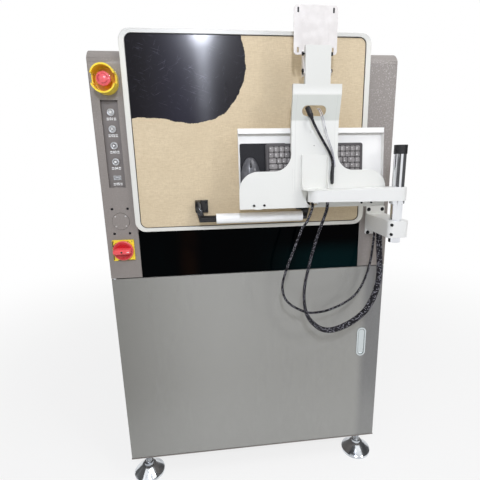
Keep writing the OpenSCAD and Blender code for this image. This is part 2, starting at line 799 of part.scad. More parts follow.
module push_button(k) placed() at(-ctrl_x, button_z(k)) difference() {
    union() {
        bar_y(button_r, recess_deep - 5, recess_deep + 16);
        bar_y(button_r + 2, recess_deep + 2 + fit, recess_deep + 5);
    }
    // Dished face
    translate([0, recess_deep - 5 - 28.8, 0]) sphere(r = 30, $fn = 96);
}

module laser_push_button() color([0.8, 0.82, 0.82]) push_button(0);
module lamp_push_button() color([0.8, 0.82, 0.82]) push_button(1);
module start_push_button() color([0.8, 0.82, 0.82]) push_button(2);
module stop_push_button() color([0.8, 0.82, 0.82]) push_button(3);

module usb_socket() color("silver") placed() at(-ctrl_x, button_z(4)) difference() {
    union() {
        upright(recess_deep - 1.5, 1.5) rounded(24, 14, 2);
        upright(recess_deep, 15) square([16, 9], center = true);
    }
    upright(recess_deep - 2, 13) square([13, 5.4], center = true);
}

module blanking_plate() color([0.6, 0.57, 0.53]) placed() at(-ctrl_x, blank_z) difference() {
    union() {
        bar_y(blank_r, -1.5, 0);
        bar_y(blank_r - 3 - fit, -1, pillar_t + 2);
    }
    for (a = [45:90:315]) rotate([0, a, 0]) at(blank_r - 3.5, 0) bar_y(2, -2, -1);
}

module switch_plate() color([0.95, 0.8, 0.1]) placed() at(-ctrl_x, switch_z) difference() {
    union() {
        upright(-5, 5) rounded(switch_w, switch_w, 4);
        bar_y(switch_neck_r, -1, pillar_t + 1);
        upright(pillar_t + fit, 44) rounded(switch_w - 10, switch_w - 10, 3);
    }
    bar_y(switch_shaft_r + run_gap, -6, 21);
}

module switch_knob() color([0.82, 0.1, 0.12]) placed() at(-ctrl_x, switch_z) {
    bar_y(knob_r, -14, -5 - fit);
    difference() {
        bar_y(knob_r - 4, -34, -14);
        for (s = [-1, 1]) translate([s * (knob_r / 2 + 8), -24, 0])
            cube([knob_r, 20.2, 2 * knob_r], center = true);
    }
    bar_y(switch_shaft_r, -6, 20);
}

// ---------------------------------------------------------------- mast and arm

bracket_z = arm_z - bracket_drop;
bar_top = bracket_z + 26;
bar_low = bracket_z - 25;
bar_t = 4;
clamp_y = -mast_off - clamp_half;
clamp_r = 16;
grub_r = 5;
grub_step = 14.5;
head_r = 6.5;

module at_mast() translate([mast_x, -mast_off, 0]) children();

// Grub screws point at the mast from the block's front left corner
module at_grubs() at_mast() for (s = [-1, 1])
    translate([0, 0, (bar_top + bar_low) / 2 + s * grub_step]) rotate([0, 90, 225]) children();

module mast_bracket() color([0.88, 0.88, 0.87]) placed() difference() {
    union() {
        at(mast_x, bracket_z + 3) upright(-bracket_plate_t, bracket_plate_t)
            rounded(bracket_w, bracket_plate_h, 4);
        difference() {
            block([mast_x - bracket_w / 2, -mast_off + clamp_half, bar_low],
                [mast_x + bracket_w / 2, -bracket_plate_t, bar_top]);
            block([mast_x - bracket_w / 2 + bar_t, -mast_off + clamp_half, bar_low - 1],
                [mast_x + bracket_w / 2 - bar_t, -bracket_plate_t, bar_top - bar_t]);
        }
        translate([mast_x, 0, bar_low]) linear_extrude(bar_top - bar_low) {
            for (s = [-1, 1]) translate([s * (bracket_w / 2 - clamp_r), clamp_y + clamp_r])
                circle(clamp_r);
            translate([-bracket_w / 2, clamp_y + clamp_r]) square([bracket_w, 2 * clamp_half - clamp_r]);
            translate([clamp_r - bracket_w / 2, clamp_y])
                square([bracket_w - 2 * clamp_r, 2 * clamp_half]);
        }
    }
    bolt_holes(bolt_hole_r, mast_x, bracket_z, -bracket_plate_t - 1, 1);
    bolt_holes(head_r + fit, mast_x, bracket_z, -bracket_plate_t - 1, -3);
    at(mast_x, bracket_z) bar_y(cable_hole_r, -bracket_plate_t - 1, 1);
    at_mast() translate([0, 0, bar_low - 1]) cylinder(r = mast_r + run_gap, h = bar_top - bar_low + 2);
    at_grubs() translate([0, 0, mast_r - 2]) cylinder(r = grub_r + run_gap, h = 40);
}

module bracket_screws() color([0.2, 0.2, 0.22]) placed() {
    for (dx = [-1, 1], dz = [-1, 1]) translate([mast_x + dx * bolt_x / 2, -3,
        bracket_z + dz * bolt_z / 2])
        socket_screw(4, head_r, 4.5, 18);
    at_grubs() difference() {
        translate([0, 0, mast_r + run_gap + 0.1]) cylinder(r = grub_r, h = 13);
        translate([0, 0, mast_r + 10]) cylinder(r = 2.5, h = 8, $fn = 6);
    }
}

mast_low = bar_low - 17;

module mast_pole() color([0.85, 0.86, 0.88]) placed() at_mast() difference() {
    translate([0, 0, mast_low]) cylinder(r = mast_r, h = mast_top - mast_low);
    translate([0, 0, mast_low - 1]) cylinder(r = mast_r - mast_wall, h = mast_top - mast_low + 2);
}

module mast_cap() color([0.07, 0.07, 0.08]) placed() at_mast() difference() {
    translate([0, 0, mast_top - 23]) cylinder(r = mast_r + 1.5, h = 26);
    translate([0, 0, mast_top - 24]) cylinder(r = mast_r + run_gap, h = 24 + fit);
}

hub_low = arm_z - arm_hub_h / 2;
hub_top = arm_z + arm_hub_h / 2;

module mast_collar() color([0.8, 0.81, 0.83]) placed() at_mast() difference() {
    translate([0, 0, hub_low - fit - 9]) cylinder(r = mast_r + 5, h = 9);
    translate([0, 0, hub_low - fit - 10]) cylinder(r = mast_r + run_gap, h = 11);
    translate([0, 0, hub_low - fit - 4.5]) rotate([0, 90, 0]) cylinder(r = 2, h = 40);
}

arm_r = arm_t / 2;
tip_low = arm_z - arm_tip_h / 2;

module swing_arm() color([0.9, 0.91, 0.91]) placed() difference() {
    intersection() {
        translate([0, -mast_off, hub_low]) linear_extrude(arm_hub_h) {
            translate([mast_x, 0]) circle(arm_r, $fn = 96);
            translate([tip_x, 0]) circle(arm_r, $fn = 96);
            translate([tip_x, -arm_r]) square([mast_x - tip_x, arm_t]);
        }
        upright(-mast_off - arm_r - 1, arm_t + 2) polygon([
            [tip_x - arm_r - 1, tip_low], [tip_x + arm_r, tip_low], [mast_x - arm_r, hub_low],
                [mast_x + arm_r + 1, hub_low],
            [mast_x + arm_r + 1, hub_top], [mast_x - arm_r, hub_top], [tip_x + arm_r, arm_top],
                [tip_x - arm_r - 1, arm_top]]);
    }
    at_mast() translate([0, 0, hub_low - 1]) cylinder(r = mast_r + run_gap, h = arm_hub_h + 2);
    translate([tip_x, -mast_off, hub_low - 1]) cylinder(r = pivot_r + run_gap, h = arm_hub_h + 2);
    // Cable trough under the arm
    translate([(tip_x + mast_x) / 2, -mast_off, hub_low - 1]) linear_extrude(22) rotate(90)
        slot_2d(arm_t - 16, mast_x - tip_x - 2 * arm_r - 24);
}

ledge_t = 3;
ledge_z = arm_top + fit;

module stand_pivot_pin() color([0.75, 0.76, 0.78]) placed() translate([tip_x, -mast_off, 0]) {
    translate([0, 0, tip_low - 5]) cylinder(r = pivot_r + 4, h = 5);
    translate([0, 0, tip_low - 1]) cylinder(r = pivot_r, h = ledge_z + ledge_t - tip_low + 1);
}

// ---------------------------------------------------------------- screen stand

boot_x = 54;
boot_z = wing_z + 94;
bracket_half = 40;
bracket_top = wing_z + 156;
hinge_x = tray_w / 2 - 56.5;
hinge_screws = [hinge_x - 15.5, hinge_x + 15.5];
edge_z = wing_z + wing_h + fillet_r;

// Outline of the wings and the flat part of the column
module stand_outline() {
    translate([-wing_w / 2, 0]) square([wing_w, wing_h - wing_r]);
    translate([wing_r - wing_w / 2, 0]) square([wing_w - 2 * wing_r, wing_h]);
    for (s = [-1, 1]) translate([s * (wing_w / 2 - wing_r), wing_h - wing_r]) circle(wing_r, $fn = 96);
    translate([-column_w / 2, 0]) square([column_w, column_h]);
    for (s = [-1, 1]) difference() {
        translate([s * (column_w + fillet_r) / 2, wing_h + fillet_r / 2 - 1])
            square([fillet_r, fillet_r + 2], center = true);
        translate([s * (column_w / 2 + fillet_r), wing_h + fillet_r]) circle(fillet_r, $fn = 96);
    }
}

module stand_plate() color([0.93, 0.93, 0.9]) placed() translate([tip_x, 0, 0]) difference() {
    union() {
        translate([0, 0, wing_z]) upright(face_y, stand_t) stand_outline();
        sideways(-column_w / 2, column_w / 2) polygon([
            [face_y, slant_z], [step_y, shoulder_z], [step_y, neck_z],
            [step_y + stand_t, neck_z], [step_y + stand_t, shoulder_z + 0.3],
                [face_y + stand_t, slant_z + 0.3], [face_y + stand_t, slant_z]]);
        both_sides() sideways(column_w / 2 - stand_t, column_w / 2) polygon([
            [face_y, edge_z], [face_y, slant_z], [step_y, shoulder_z], [step_y, neck_z],
                [step_y + column_edge, neck_z],
            [step_y + column_edge, shoulder_z], [face_y + column_edge, slant_z],
                [face_y + column_edge, edge_z + 10], [face_y + stand_t, edge_z]]);
        translate([0, 0, neck_z]) upright(step_y, stand_t) translate([-neck_w / 2, -1])
            square([neck_w, neck_h + 1]);
        both_sides() sideways(neck_w / 2 - stand_t, neck_w / 2) polygon([
            [step_y, neck_z - 12], [step_y, neck_z + neck_h], [step_y + 12, neck_z + neck_h],
                [step_y + 18, neck_z + neck_h - 6], [step_y + 18, neck_z - 12]]);
    }
    // Oblong window in the slanted step
    translate([-6, 0, (slant_z + shoulder_z) / 2 - 8]) upright(step_y - 5, 40) rotate(90)
        slot_2d(28, 70);
    // Cable slot beside the bracket
    at(boot_x, boot_z) upright(face_y - 1, stand_t + 2) slot_2d(9, 34);
    translate([-2, 0, arm_z - 11]) bar_y(22, face_y - 1, face_y + stand_t + 1);
    for (p = [[-13, 220], [-2, 182]]) at(p[0], wing_z + p[1])
        bar_y(1.5, face_y - 1, face_y + stand_t + 1);
    for (s = [-1, 1], x = hinge_screws) at(s * x, wing_z + 11)
        bar_y(2 + run_gap, face_y - 1, face_y + stand_t + 1);
    for (z = [tilt_z, tilt_z + tilt_lift]) translate([0, tilt_y, z]) bar_x(2 + run_gap, -neck_w, neck_w);
}

module stand_bracket() color([0.93, 0.93, 0.9]) placed() translate([tip_x, 0, 0]) difference() {
    r = 20;
    union() {
        translate([0, 0, ledge_z]) linear_extrude(ledge_t) {
            front = -mast_off - arm_r + 1;
            for (s = [-1, 1]) translate([s * (bracket_half - r), front + r]) circle(r);
            translate([-bracket_half, front + r]) square([2 * bracket_half, face_y - front - r]);
            translate([r - bracket_half, front]) square([2 * (bracket_half - r), r + 1]);
        }
        block([-bracket_half, face_y - 3, ledge_z], [bracket_half, face_y, bracket_top]);
        both_sides() sideways(bracket_half - 2.5, bracket_half) polygon([
            [face_y - 1, ledge_z + 1], [-mast_off + 2, ledge_z + 1], [face_y - 9, ledge_z + 28],
                [face_y - 9, bracket_top - 6], [face_y - 3, bracket_top]]);
    }
    translate([0, -mast_off, ledge_z - 1]) cylinder(r = pivot_r + run_gap, h = ledge_t + 2);
}

module screen_plate() color([0.93, 0.93, 0.9]) placed() translate([tip_x, 0, 0]) difference() {
    ear_x = neck_w / 2 + fit;
    ear_top = screen_z + 20;
    union() {
        translate([0, 0, screen_z]) upright(screen_y, stand_t) rounded(vesa_w, vesa_w, 8);
        both_sides() sideways(ear_x, ear_x + stand_t) polygon([
            [tilt_y - 9, tilt_z - 6], [tilt_y - 3, tilt_z - 14], [screen_y + 1, tilt_z - 14],
                [screen_y + 1, ear_top],
            [screen_y - 8, ear_top], [tilt_y - 9, tilt_z + tilt_lift + 14]]);
    }
    for (x = [-1, 1], z = [-1, 1]) translate([x * vesa_pitch / 2, 0, screen_z + z * vesa_pitch / 2])
        upright(screen_y - 1, stand_t + 2) slot_2d(5.2, vesa_slot);
    translate([0, tilt_y, tilt_z]) bar_x(2 + run_gap, -vesa_w, vesa_w);
    // Arc slots for the upper tilt screws
    sideways(-neck_w, neck_w) translate([tilt_y, tilt_z + tilt_lift]) rotate(90) slot_2d(5, 16);
}

module stand_screws() color([0.1, 0.1, 0.1]) placed() translate([tip_x, 0, 0]) {
    seat = neck_w / 2 + stand_t + 2 * fit;
    both_sides() for (z = [tilt_z, tilt_z + tilt_lift]) translate([0, tilt_y, z]) {
        bar_x(2, neck_w / 2 - 6, seat + 1);
        difference() {
            bar_x(5, seat, seat + 4);
            translate([seat + 2, 0, 0]) rotate([0, 90, 0]) cylinder(r = 2.3, h = 4, $fn = 6);
        }
    }
    for (s = [-1, 1], x = hinge_screws) at(s * x, wing_z + 11) {
        bar_y(3.6, face_y - 1.8, face_y);
        bar_y(2, face_y - 1, face_y + stand_t + 2);
    }
}

// ---------------------------------------------------------------- keyboard tray

hinge_half = 23;
knuckle_r = 4.5;
tray_pin_r = 2.5;
tray_gap = 8;

module tray_hinges() color([0.8, 0.8, 0.78]) placed() translate([tip_x, 0, 0])
    for (s = [-1, 1]) translate([s * hinge_x, 0, 0]) {
        back = face_y + stand_t;
        difference() {
            union() {
                block([-hinge_half, back, tray_z - 7], [hinge_half, back + 2, tray_z + 9]);
                both_sides() sideways(hinge_half - 2, hinge_half) {
                    translate([tray_y, tray_z]) circle(5);
                    polygon([[back + 1, tray_z - 5], [tray_y, tray_z - 5], [tray_y, tray_z + 5],
                        [back + 1, tray_z + 5]]);
                }
            }
            for (x = hinge_screws) translate([x - hinge_x, 0, wing_z + 11])
                bar_y(2 + run_gap, back - 1, back + 3);
        }
        translate([0, tray_y, tray_z]) bar_x(tray_pin_r, -hinge_half, hinge_half);
    }

// Draws in the tray's own frame: Y away from the hinge, Z out of the tray
module in_tray() placed() translate([tip_x, tray_y, tray_z]) rotate([tray_angle, 0, 0]) children();

module keyboard_tray() color([0.9, 0.9, 0.87]) in_tray() difference() {
    w = tray_w / 2;
    top = tray_floor + tray_wall_h;
    union() {
        difference() {
            block([-w, tray_gap, tray_floor], [w, tray_d, top]);
            block([-w + tray_t, tray_gap + tray_t, desk_z], [w - tray_t, tray_d - tray_t, top - tray_t]);
            block([-w + tray_t, tray_gap + tray_t, top - 2 * tray_t],
                [w - tray_t, tray_d - 15, top + 1]);
        }
        for (s = [-1, 1]) {
            translate([s * hinge_x, 0, 0]) bar_x(knuckle_r, -hinge_half + 2 + fit, hinge_half - 2 - fit);
            block([s * hinge_x - 18, 0, -knuckle_r], [s * hinge_x + 18, tray_gap + 1, -1.5]);
        }
    }
    for (s = [-1, 1]) translate([s * hinge_x, 0, 0])
        bar_x(tray_pin_r + run_gap, -hinge_half, hinge_half);
}

keyboard_x = 8;
keyboard_y = 63;
key_rows = 5;
key_cols = 14;
key_gap = 2.6;

module keyboard_case() color([0.22, 0.2, 0.2]) in_tray()
    translate([keyboard_x, keyboard_y + keyboard_d / 2, desk_z + pad_t]) {
        linear_extrude(keyboard_h - 2) rounded(keyboard_w, keyboard_d, 7);
        translate([0, 0, 1]) linear_extrude(keyboard_h - 1) rounded(keyboard_w - 4, keyboard_d - 4, 6);
        // Its left end rests on the mouse pad
        for (y = [-1, 1]) translate([keyboard_w / 2 - 14, y * (keyboard_d / 2 - 12), -pad_t])
            cylinder(r = 4, h = pad_t);
    }

key_x = (keyboard_w - 16) / key_cols;
key_y = (keyboard_d - 14) / (key_rows + 1);
// Space bar row: start and width of each key in key widths
space_row = [[0, 1.25], [1.25, 1.25], [2.5, 1.25], [3.75, 5.5], [9.25, 1.25], [10.5, 1.25],
    [11.75, 2.25]];

module key_cap(col, row, w) translate([(col - key_cols / 2) * key_x,
    (row - (key_rows + 1) / 2) * key_y, 0])
    block([key_gap / 2, key_gap / 2, 0], [w * key_x - key_gap / 2, key_y - key_gap / 2, 2.5]);

module keyboard_keys() color([0.3, 0.28, 0.28]) in_tray()
    translate([keyboard_x, keyboard_y + keyboard_d / 2, desk_z + pad_t + keyboard_h]) {
        for (row = [0:key_rows - 1], col = [0:key_cols - 1]) key_cap(col, row, 1);
        for (k = space_row) key_cap(k[0], key_rows, k[1]);
    }

module mouse_pad() color([0.08, 0.08, 0.09]) in_tray()
    translate([(mat_w - tray_w) / 2 + 5, mat_d / 2 + 23, desk_z])
        linear_extrude(pad_t - fit) rounded(mat_w, mat_d, 6);

module mouse() color([0.25, 0.25, 0.26]) in_tray()
    translate([(mouse_w - tray_w) / 2 + 6, mouse_l / 2 + 44, desk_z + pad_t]) {
    h = 23;
    r = 75;
    intersection() {
        linear_extrude(h) rounded(mouse_w, mouse_l, 22);
        sideways(-mouse_w, mouse_w) intersection() {
            translate([0, h - r]) circle(r, $fn = 96);
            translate([-mouse_l, 0]) square([2 * mouse_l, h]);
        }
    }
}

// ---------------------------------------------------------------- cords

module stand_lead() color([0.08, 0.08, 0.09]) from_mast()
    swept(lead_route, lead_d / 2, lead_d / 2, 0, 1, 8);

module lead_plug() color([0.07, 0.07, 0.08]) {
    axis = unit([5, -14, -20]);
    length = 39;
    turn = acos(axis[2]);
    from_mast() translate(lead_route[0] - axis * (length + fit))
        rotate([0, turn, atan2(axis[1], axis[0])]) {
            cylinder(r = 8, h = length - 14);
            translate([0, 0, length - 14]) cylinder(r1 = 8, r2 = lead_d / 2 + 0.8, h = 14);
        }
    // Boot that holds the lead's lower end in the slot
    placed() translate([tip_x + boot_x, 0, boot_z]) {
        difference() {
            union() {
                translate([0, face_y - 5.1, -20]) cylinder(r = 5, h = 48);
                translate([0, face_y - 5.1, -20]) sphere(r = 5);
                upright(face_y - 5, stand_t + 5) slot_2d(6, 28);
                upright(face_y + stand_t + 0.1, 2) slot_2d(12, 36);
                upright(face_y - 0.1, stand_t + 0.3) slot_2d(8, 30);
            }
            translate([0, face_y - 5, 14]) cylinder(r = lead_d / 2 + 0.1, h = 20);
        }
    }
}

module braided_loop() color([0.12, 0.12, 0.13]) from_mast()
    swept(braid_route, braid_d / 2, loom_d / 2, 0.3, 0.55, 10);
module thin_loop() color([0.1, 0.1, 0.11]) from_mast()
    swept(thin_route, thin_d / 2, thin_d / 2, 0, 1, 8);

// ---------------------------------------------------------------- feet

module levelling_foot() {
    nut_h = 16;
    difference() {
        rotate_extrude() polygon([[0, 0], [foot_r, 0], [foot_r, 9], [foot_r - 3, 12], [26, 36],
            [18, 40], [18, 48], [0, 48]]);
        translate([0, 0, 42]) cylinder(r = stud_r + run_gap, h = 10);
    }
    translate([0, 0, 42]) cylinder(r = stud_r, h = under_z - 42 + 30);
    difference() {
        translate([0, 0, under_z - nut_h]) cylinder(r = stud_r * 1.75, h = nut_h, $fn = 6);
        translate([0, 0, under_z - nut_h - 1]) cylinder(r = stud_r + run_gap, h = nut_h + 2);
    }
}

module levelling_feet() color([0.8, 0.8, 0.82]) placed()
    for (x = [-1, 1], y = [foot_y, body_d - foot_y]) translate([x * foot_x, y, 0]) levelling_foot();

// ---------------------------------------------------------------- laser and table

table_y = 390;
column_y = 660;
head_y = column_y - 2;
lens_z = deck_z + lens_h;

module work_table() color([0.7, 0.71, 0.73]) placed() translate([0, table_y, deck_z]) difference() {
    block([-table_w / 2, -table_d / 2, 0], [table_w / 2, table_d / 2, table_t]);
    for (k = [-2:2]) {
        y = k * table_d / 5;
        block([-table_w, y - 4, table_t - 6], [table_w, y + 4, table_t + 1]);
        block([-table_w, y - 8, table_t - 13], [table_w, y + 8, table_t - 6]);
    }
}

module head_column() color([0.75, 0.76, 0.78]) placed() {
    block([-90, column_y - 20, deck_z], [90, column_y + 130, deck_z + 12]);
    difference() {
        block([-65, column_y, deck_z + 12], [65, column_y + 90, deck_z + head_col_h]);
        block([-53, column_y + 12, deck_z + 30], [53, column_y + 91, deck_z + head_col_h - 20]);
    }
    both_sides() block([36, column_y - 10, deck_z + 20], [50, column_y + 4, deck_z + head_col_h - 10]);
}

module laser_head() color([0.2, 0.21, 0.23]) placed() {
    low = lens_z + 40;
    block([-56, head_y - 30, low], [56, head_y - 9, low + 120]);
    both_sides() block([50 + fit, head_y - 10, low], [56, head_y, low + 120]);
    both_sides() block([28, head_y - 10, low], [36 - fit, head_y, low + 120]);
    // Beam and scan block, hollow and open to each other
    difference() {
        union() {
            block([-45, table_y + 49, low + 15], [45, head_y - 29, low + 105]);
            block([-60, table_y - 55, low], [60, table_y + 50, low + 120]);
        }
        block([-41, table_y + 40, low + 19], [41, head_y - 29.5, low + 101]);
        block([-54, table_y - 49, low + 6], [54, table_y + 44, low + 114]);
        translate([0, table_y + 60, low + 100]) cylinder(r = 8, h = 10);
    }
    translate([0, table_y, lens_z]) difference() {
        union() {
            cylinder(r = 42, h = 22);
            translate([0, 0, 22]) cylinder(r = 36, h = 18);
        }
        translate([0, 0, -1]) cylinder(r = 34, h = 6);
    }
}

// Equipment boxes on the cabinet's floor, in front of the back feet
case_d = body_d - 510;
case_y = body_d - foot_y - 30 - case_d / 2;
source_w = half_w - 135;
source_h = 150;
pc_w = half_w - 115;
pc_h = 178;

module equipment_case(x, w, h) translate([x, case_y, floor_z]) difference() {
    block([-w / 2, -case_d / 2, 0], [w / 2, case_d / 2, h]);
    block([sheet_t - w / 2, sheet_t - case_d / 2, sheet_t],
        [w / 2 - sheet_t, case_d / 2 - sheet_t, h - sheet_t]);
    translate([0, -case_d / 2, 0]) children();
}

// Front handle of an equipment box, standing up from one of its sides
module case_handle(x, z) translate([x, case_y - case_d / 2, floor_z + z]) both_sides()
    sideways(0, 8) polygon([[1, -32], [-32, -32], [-32, 32], [1, 32], [1, 24], [-24, 24], [-24, -24],
        [1, -24]]);

source_x = -50 - source_w / 2;
pc_x = 50 + pc_w / 2;

module laser_source() color([0.15, 0.15, 0.17]) placed() {
    equipment_case(source_x, source_w, source_h)
        for (k = [-7:7]) block([k * source_w / 17 - 4, -1, 30], [k * source_w / 17 + 4, 4, 70]);
    for (s = [-1, 1]) case_handle(source_x + s * (source_w / 2 - 16), source_h / 2);
}

module controller_pc() color([0.12, 0.12, 0.13]) placed() {
    equipment_case(pc_x, pc_w, pc_h)
        for (k = [0:5]) block([20 - pc_w / 2, -1, 20 + k * 10], [20, 4, 24 + k * 10]);
    for (s = [-1, 1]) case_handle(pc_x + s * (pc_w / 2 - 26), pc_h / 2);
}

base_frame();
left_side_panel();
right_side_panel();
back_panel();
roof_panel();
left_pillar();
right_pillar();
deck_plate();
fascia_panel();
lower_door();
door_pivot_pins();
latch_body();
latch_paddle();
lift_door_frame();
lift_door_window();
window_film();
handle_bar();
handle_grip();
guide_rails();
door_carriages();
lift_cylinders();
lift_rods();
estop_shroud();
estop_button();
control_panel();
laser_push_button();
lamp_push_button();
start_push_button();
stop_push_button();
usb_socket();
blanking_plate();
switch_plate();
switch_knob();
mast_bracket();
bracket_screws();
mast_pole();
mast_cap();
mast_collar();
swing_arm();
stand_pivot_pin();
stand_plate();
stand_bracket();
screen_plate();
stand_screws();
tray_hinges();
keyboard_tray();
keyboard_case();
keyboard_keys();
mouse_pad();
mouse();
stand_lead();
lead_plug();
braided_loop();
thin_loop();
levelling_feet();
work_table();
head_column();
laser_head();
laser_source();
controller_pc();
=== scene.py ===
import json
import math

import bmesh
import bpy
import numpy as np
from mathutils import Matrix, Vector
from mathutils import noise as roughly
from mathutils.geometry import delaunay_2d_cdt

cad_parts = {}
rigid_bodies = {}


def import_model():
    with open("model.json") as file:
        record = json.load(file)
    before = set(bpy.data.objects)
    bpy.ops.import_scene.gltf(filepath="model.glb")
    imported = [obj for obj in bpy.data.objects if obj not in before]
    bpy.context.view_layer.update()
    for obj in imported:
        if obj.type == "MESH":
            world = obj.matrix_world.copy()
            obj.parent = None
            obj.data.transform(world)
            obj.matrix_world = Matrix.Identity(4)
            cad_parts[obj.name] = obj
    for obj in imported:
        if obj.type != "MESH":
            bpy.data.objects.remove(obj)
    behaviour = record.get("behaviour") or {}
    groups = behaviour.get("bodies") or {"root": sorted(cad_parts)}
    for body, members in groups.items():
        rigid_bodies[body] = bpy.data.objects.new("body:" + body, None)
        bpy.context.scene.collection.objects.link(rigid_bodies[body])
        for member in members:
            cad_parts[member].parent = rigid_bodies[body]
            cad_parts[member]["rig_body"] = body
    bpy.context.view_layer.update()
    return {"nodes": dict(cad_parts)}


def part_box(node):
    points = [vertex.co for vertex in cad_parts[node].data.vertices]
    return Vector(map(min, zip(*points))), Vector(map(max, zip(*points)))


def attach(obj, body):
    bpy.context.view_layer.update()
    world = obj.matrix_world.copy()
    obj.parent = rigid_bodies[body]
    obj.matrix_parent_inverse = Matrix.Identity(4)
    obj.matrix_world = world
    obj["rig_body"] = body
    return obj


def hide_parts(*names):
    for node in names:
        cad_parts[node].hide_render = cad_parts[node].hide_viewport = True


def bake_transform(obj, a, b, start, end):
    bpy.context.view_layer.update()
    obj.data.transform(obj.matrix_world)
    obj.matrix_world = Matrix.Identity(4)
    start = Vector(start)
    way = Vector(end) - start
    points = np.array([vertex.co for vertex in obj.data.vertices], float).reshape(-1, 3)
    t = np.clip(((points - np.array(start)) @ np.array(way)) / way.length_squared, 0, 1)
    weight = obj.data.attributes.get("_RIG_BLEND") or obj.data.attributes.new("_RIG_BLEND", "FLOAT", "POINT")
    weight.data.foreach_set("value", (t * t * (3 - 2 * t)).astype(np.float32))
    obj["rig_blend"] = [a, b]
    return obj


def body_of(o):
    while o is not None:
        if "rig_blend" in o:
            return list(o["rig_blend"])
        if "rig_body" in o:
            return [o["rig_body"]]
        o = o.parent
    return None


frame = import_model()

# ---------------------------------------------------------------- camera
# Stands a metre and a half in front of the machine at chest height, a little
# left of its middle, and looks down at it with a slight roll to the left.
eye = Vector((-0.1232, -1.5591, 1.2007))
yaw, pitch, roll = (math.radians(a) for a in (6.42, 13.06, -1.0))
ahead = Vector((math.sin(yaw) * math.cos(pitch), math.cos(yaw) * math.cos(pitch), -math.sin(pitch)))
level = Vector((math.cos(yaw), -math.sin(yaw), 0))
upward = level.cross(ahead)
side = level * math.cos(roll) + upward * math.sin(roll)
top = upward * math.cos(roll) - level * math.sin(roll)
lens = bpy.data.cameras.new("front_camera")
lens.lens = 26.4
lens.sensor_width = 36
lens.shift_x = -0.031
camera = bpy.data.objects.new("front_camera", lens)
camera.matrix_world = Matrix.Translation(eye) @ Matrix((side, top, -ahead)).transposed().to_4x4()
bpy.context.scene.collection.objects.link(camera)
bpy.context.scene.camera = camera
bpy.context.scene.view_settings.view_transform = "Standard"


# ---------------------------------------------------------------- cabinet
# The cabinet is folded from two-millimetre steel sheet, welded at its corners
# and powder-coated in a warm grey with a fine, slightly rough grain. Two
# pillars of thicker steel stand at its front, their tops curved back.
class Value:
    """An output socket that takes part in expressions."""
    def __init__(self, finish, socket):
        self.finish, self.socket = finish, socket

    def math(self, operation, *others):
        return self.finish.node("ShaderNodeMath", {"operation": operation}, [self, *others])

    def __add__(self, other): return self.math("ADD", other)
    def __sub__(self, other): return self.math("SUBTRACT", other)
    def __mul__(self, other): return self.math("MULTIPLY", other)
    def __neg__(self): return self.math("MULTIPLY", -1)
    def __rsub__(self, other): return (-self) + other
    __radd__, __rmul__ = __add__, __mul__

    def rises(self, low, high):
        """0 below low, 1 above high, smooth between them."""
        smooth = {"interpolation_type": "SMOOTHSTEP"}
        return self.finish.node("ShaderNodeMapRange", smooth, [self, low, high, 0.0, 1.0])

    def near(self, middle, reach):
        """1 at the middle, falling to 0 at that distance from it."""
        return 1 - (self - middle).math("ABSOLUTE").rises(0.0, reach)


class Finish:
    """One material with a Principled shader at its end."""
    def __init__(self, name, color, rough, metal=0.0, **fixed):
        self.material = bpy.data.materials.new(name)
        self.material.use_nodes = True
        self.nodes = self.material.node_tree.nodes
        self.shader = self.nodes["Principled BSDF"]
        self.set("Base Color", (*color, 1))
        self.set("Roughness", rough)
        self.set("Metallic", metal)
        for key, number in fixed.items():
            self.set(key.replace("_", " "), number)
        where = self.nodes.new("ShaderNodeTexCoord")
        self.place = Value(self, where.outputs["Object"])
        self.uv = Value(self, where.outputs["UV"])

    def join(self, given, socket):
        if isinstance(given, Value):
            self.material.node_tree.links.new(given.socket, socket)
        elif given is not None:
            socket.default_value = given

    def set(self, socket, given):
        self.join(given, self.shader.inputs[socket])

    def node(self, kind, settings=None, inputs=(), output=0):
        """A node of that kind: its settings first, then its inputs, by order or by name."""
        made = self.nodes.new(kind)
        for key, setting in (settings or {}).items():
            setattr(made, key, setting)
        pairs = inputs.items() if isinstance(inputs, dict) else enumerate(inputs)
        for key, given in pairs:
            self.join(given, made.inputs[key])
        return Value(self, made.outputs[output])

    def stretched(self, sx, sy, sz, at=None):
        scaled = [at or self.place, (sx, sy, sz)]
        return self.node("ShaderNodeVectorMath", {"operation": "MULTIPLY"}, scaled)

    def turned(self, about, angle):
        given = {"Vector": self.place, "Axis": about, "Angle": angle}
        return self.node("ShaderNodeVectorRotate", {"rotation_type": "AXIS_ANGLE"}, given)

    def noise(self, scale, detail=2.0, rough=0.5, at=None):
        given = {"Vector": at or self.place, "Scale": scale, "Detail": detail, "Roughness": rough}
        return self.node("ShaderNodeTexNoise", None, given)

    def cells(self, scale, feature="F1"):
        given = {"Vector": self.place, "Scale": scale}
        return self.node("ShaderNodeTexVoronoi", {"feature": feature}, given)

    def axis(self, letter, at=None):
        return self.node("ShaderNodeSeparateXYZ", None, [at or self.place], "XYZ".index(letter))

    def from_line(self, x, z):
        """Distance from a line that runs straight back through (x, z)."""
        ends = [self.stretched(1, 0, 1), (x, 0, z)]
        return self.node("ShaderNodeVectorMath", {"operation": "DISTANCE"}, ends, 1)

    def mix(self, amount, first, second):
        """Colour that goes from first to second as amount goes from 0 to 1."""
        made = self.nodes.new("ShaderNodeMix")
        made.data_type = "RGBA"
        self.join(amount, made.inputs[0])
        for given, socket in ((first, made.inputs[6]), (second, made.inputs[7])):
            self.join(given if isinstance(given, Value) else (*given[:3], 1), socket)
        return Value(self, made.outputs[2])

    def layered(self, base, *coats):
        """Base colour: a first tone, then others over it, each by its own amount."""
        for amount, tone in coats:
            base = self.mix(amount, base, rgb(*tone))
        self.base = base
        self.set("Base Color", base)

    def bump(self, height, depth, strength=1.0):
        given = {"Height": height, "Distance": depth, "Strength": strength}
        self.set("Normal", self.node("ShaderNodeBump", None, given))
        return self


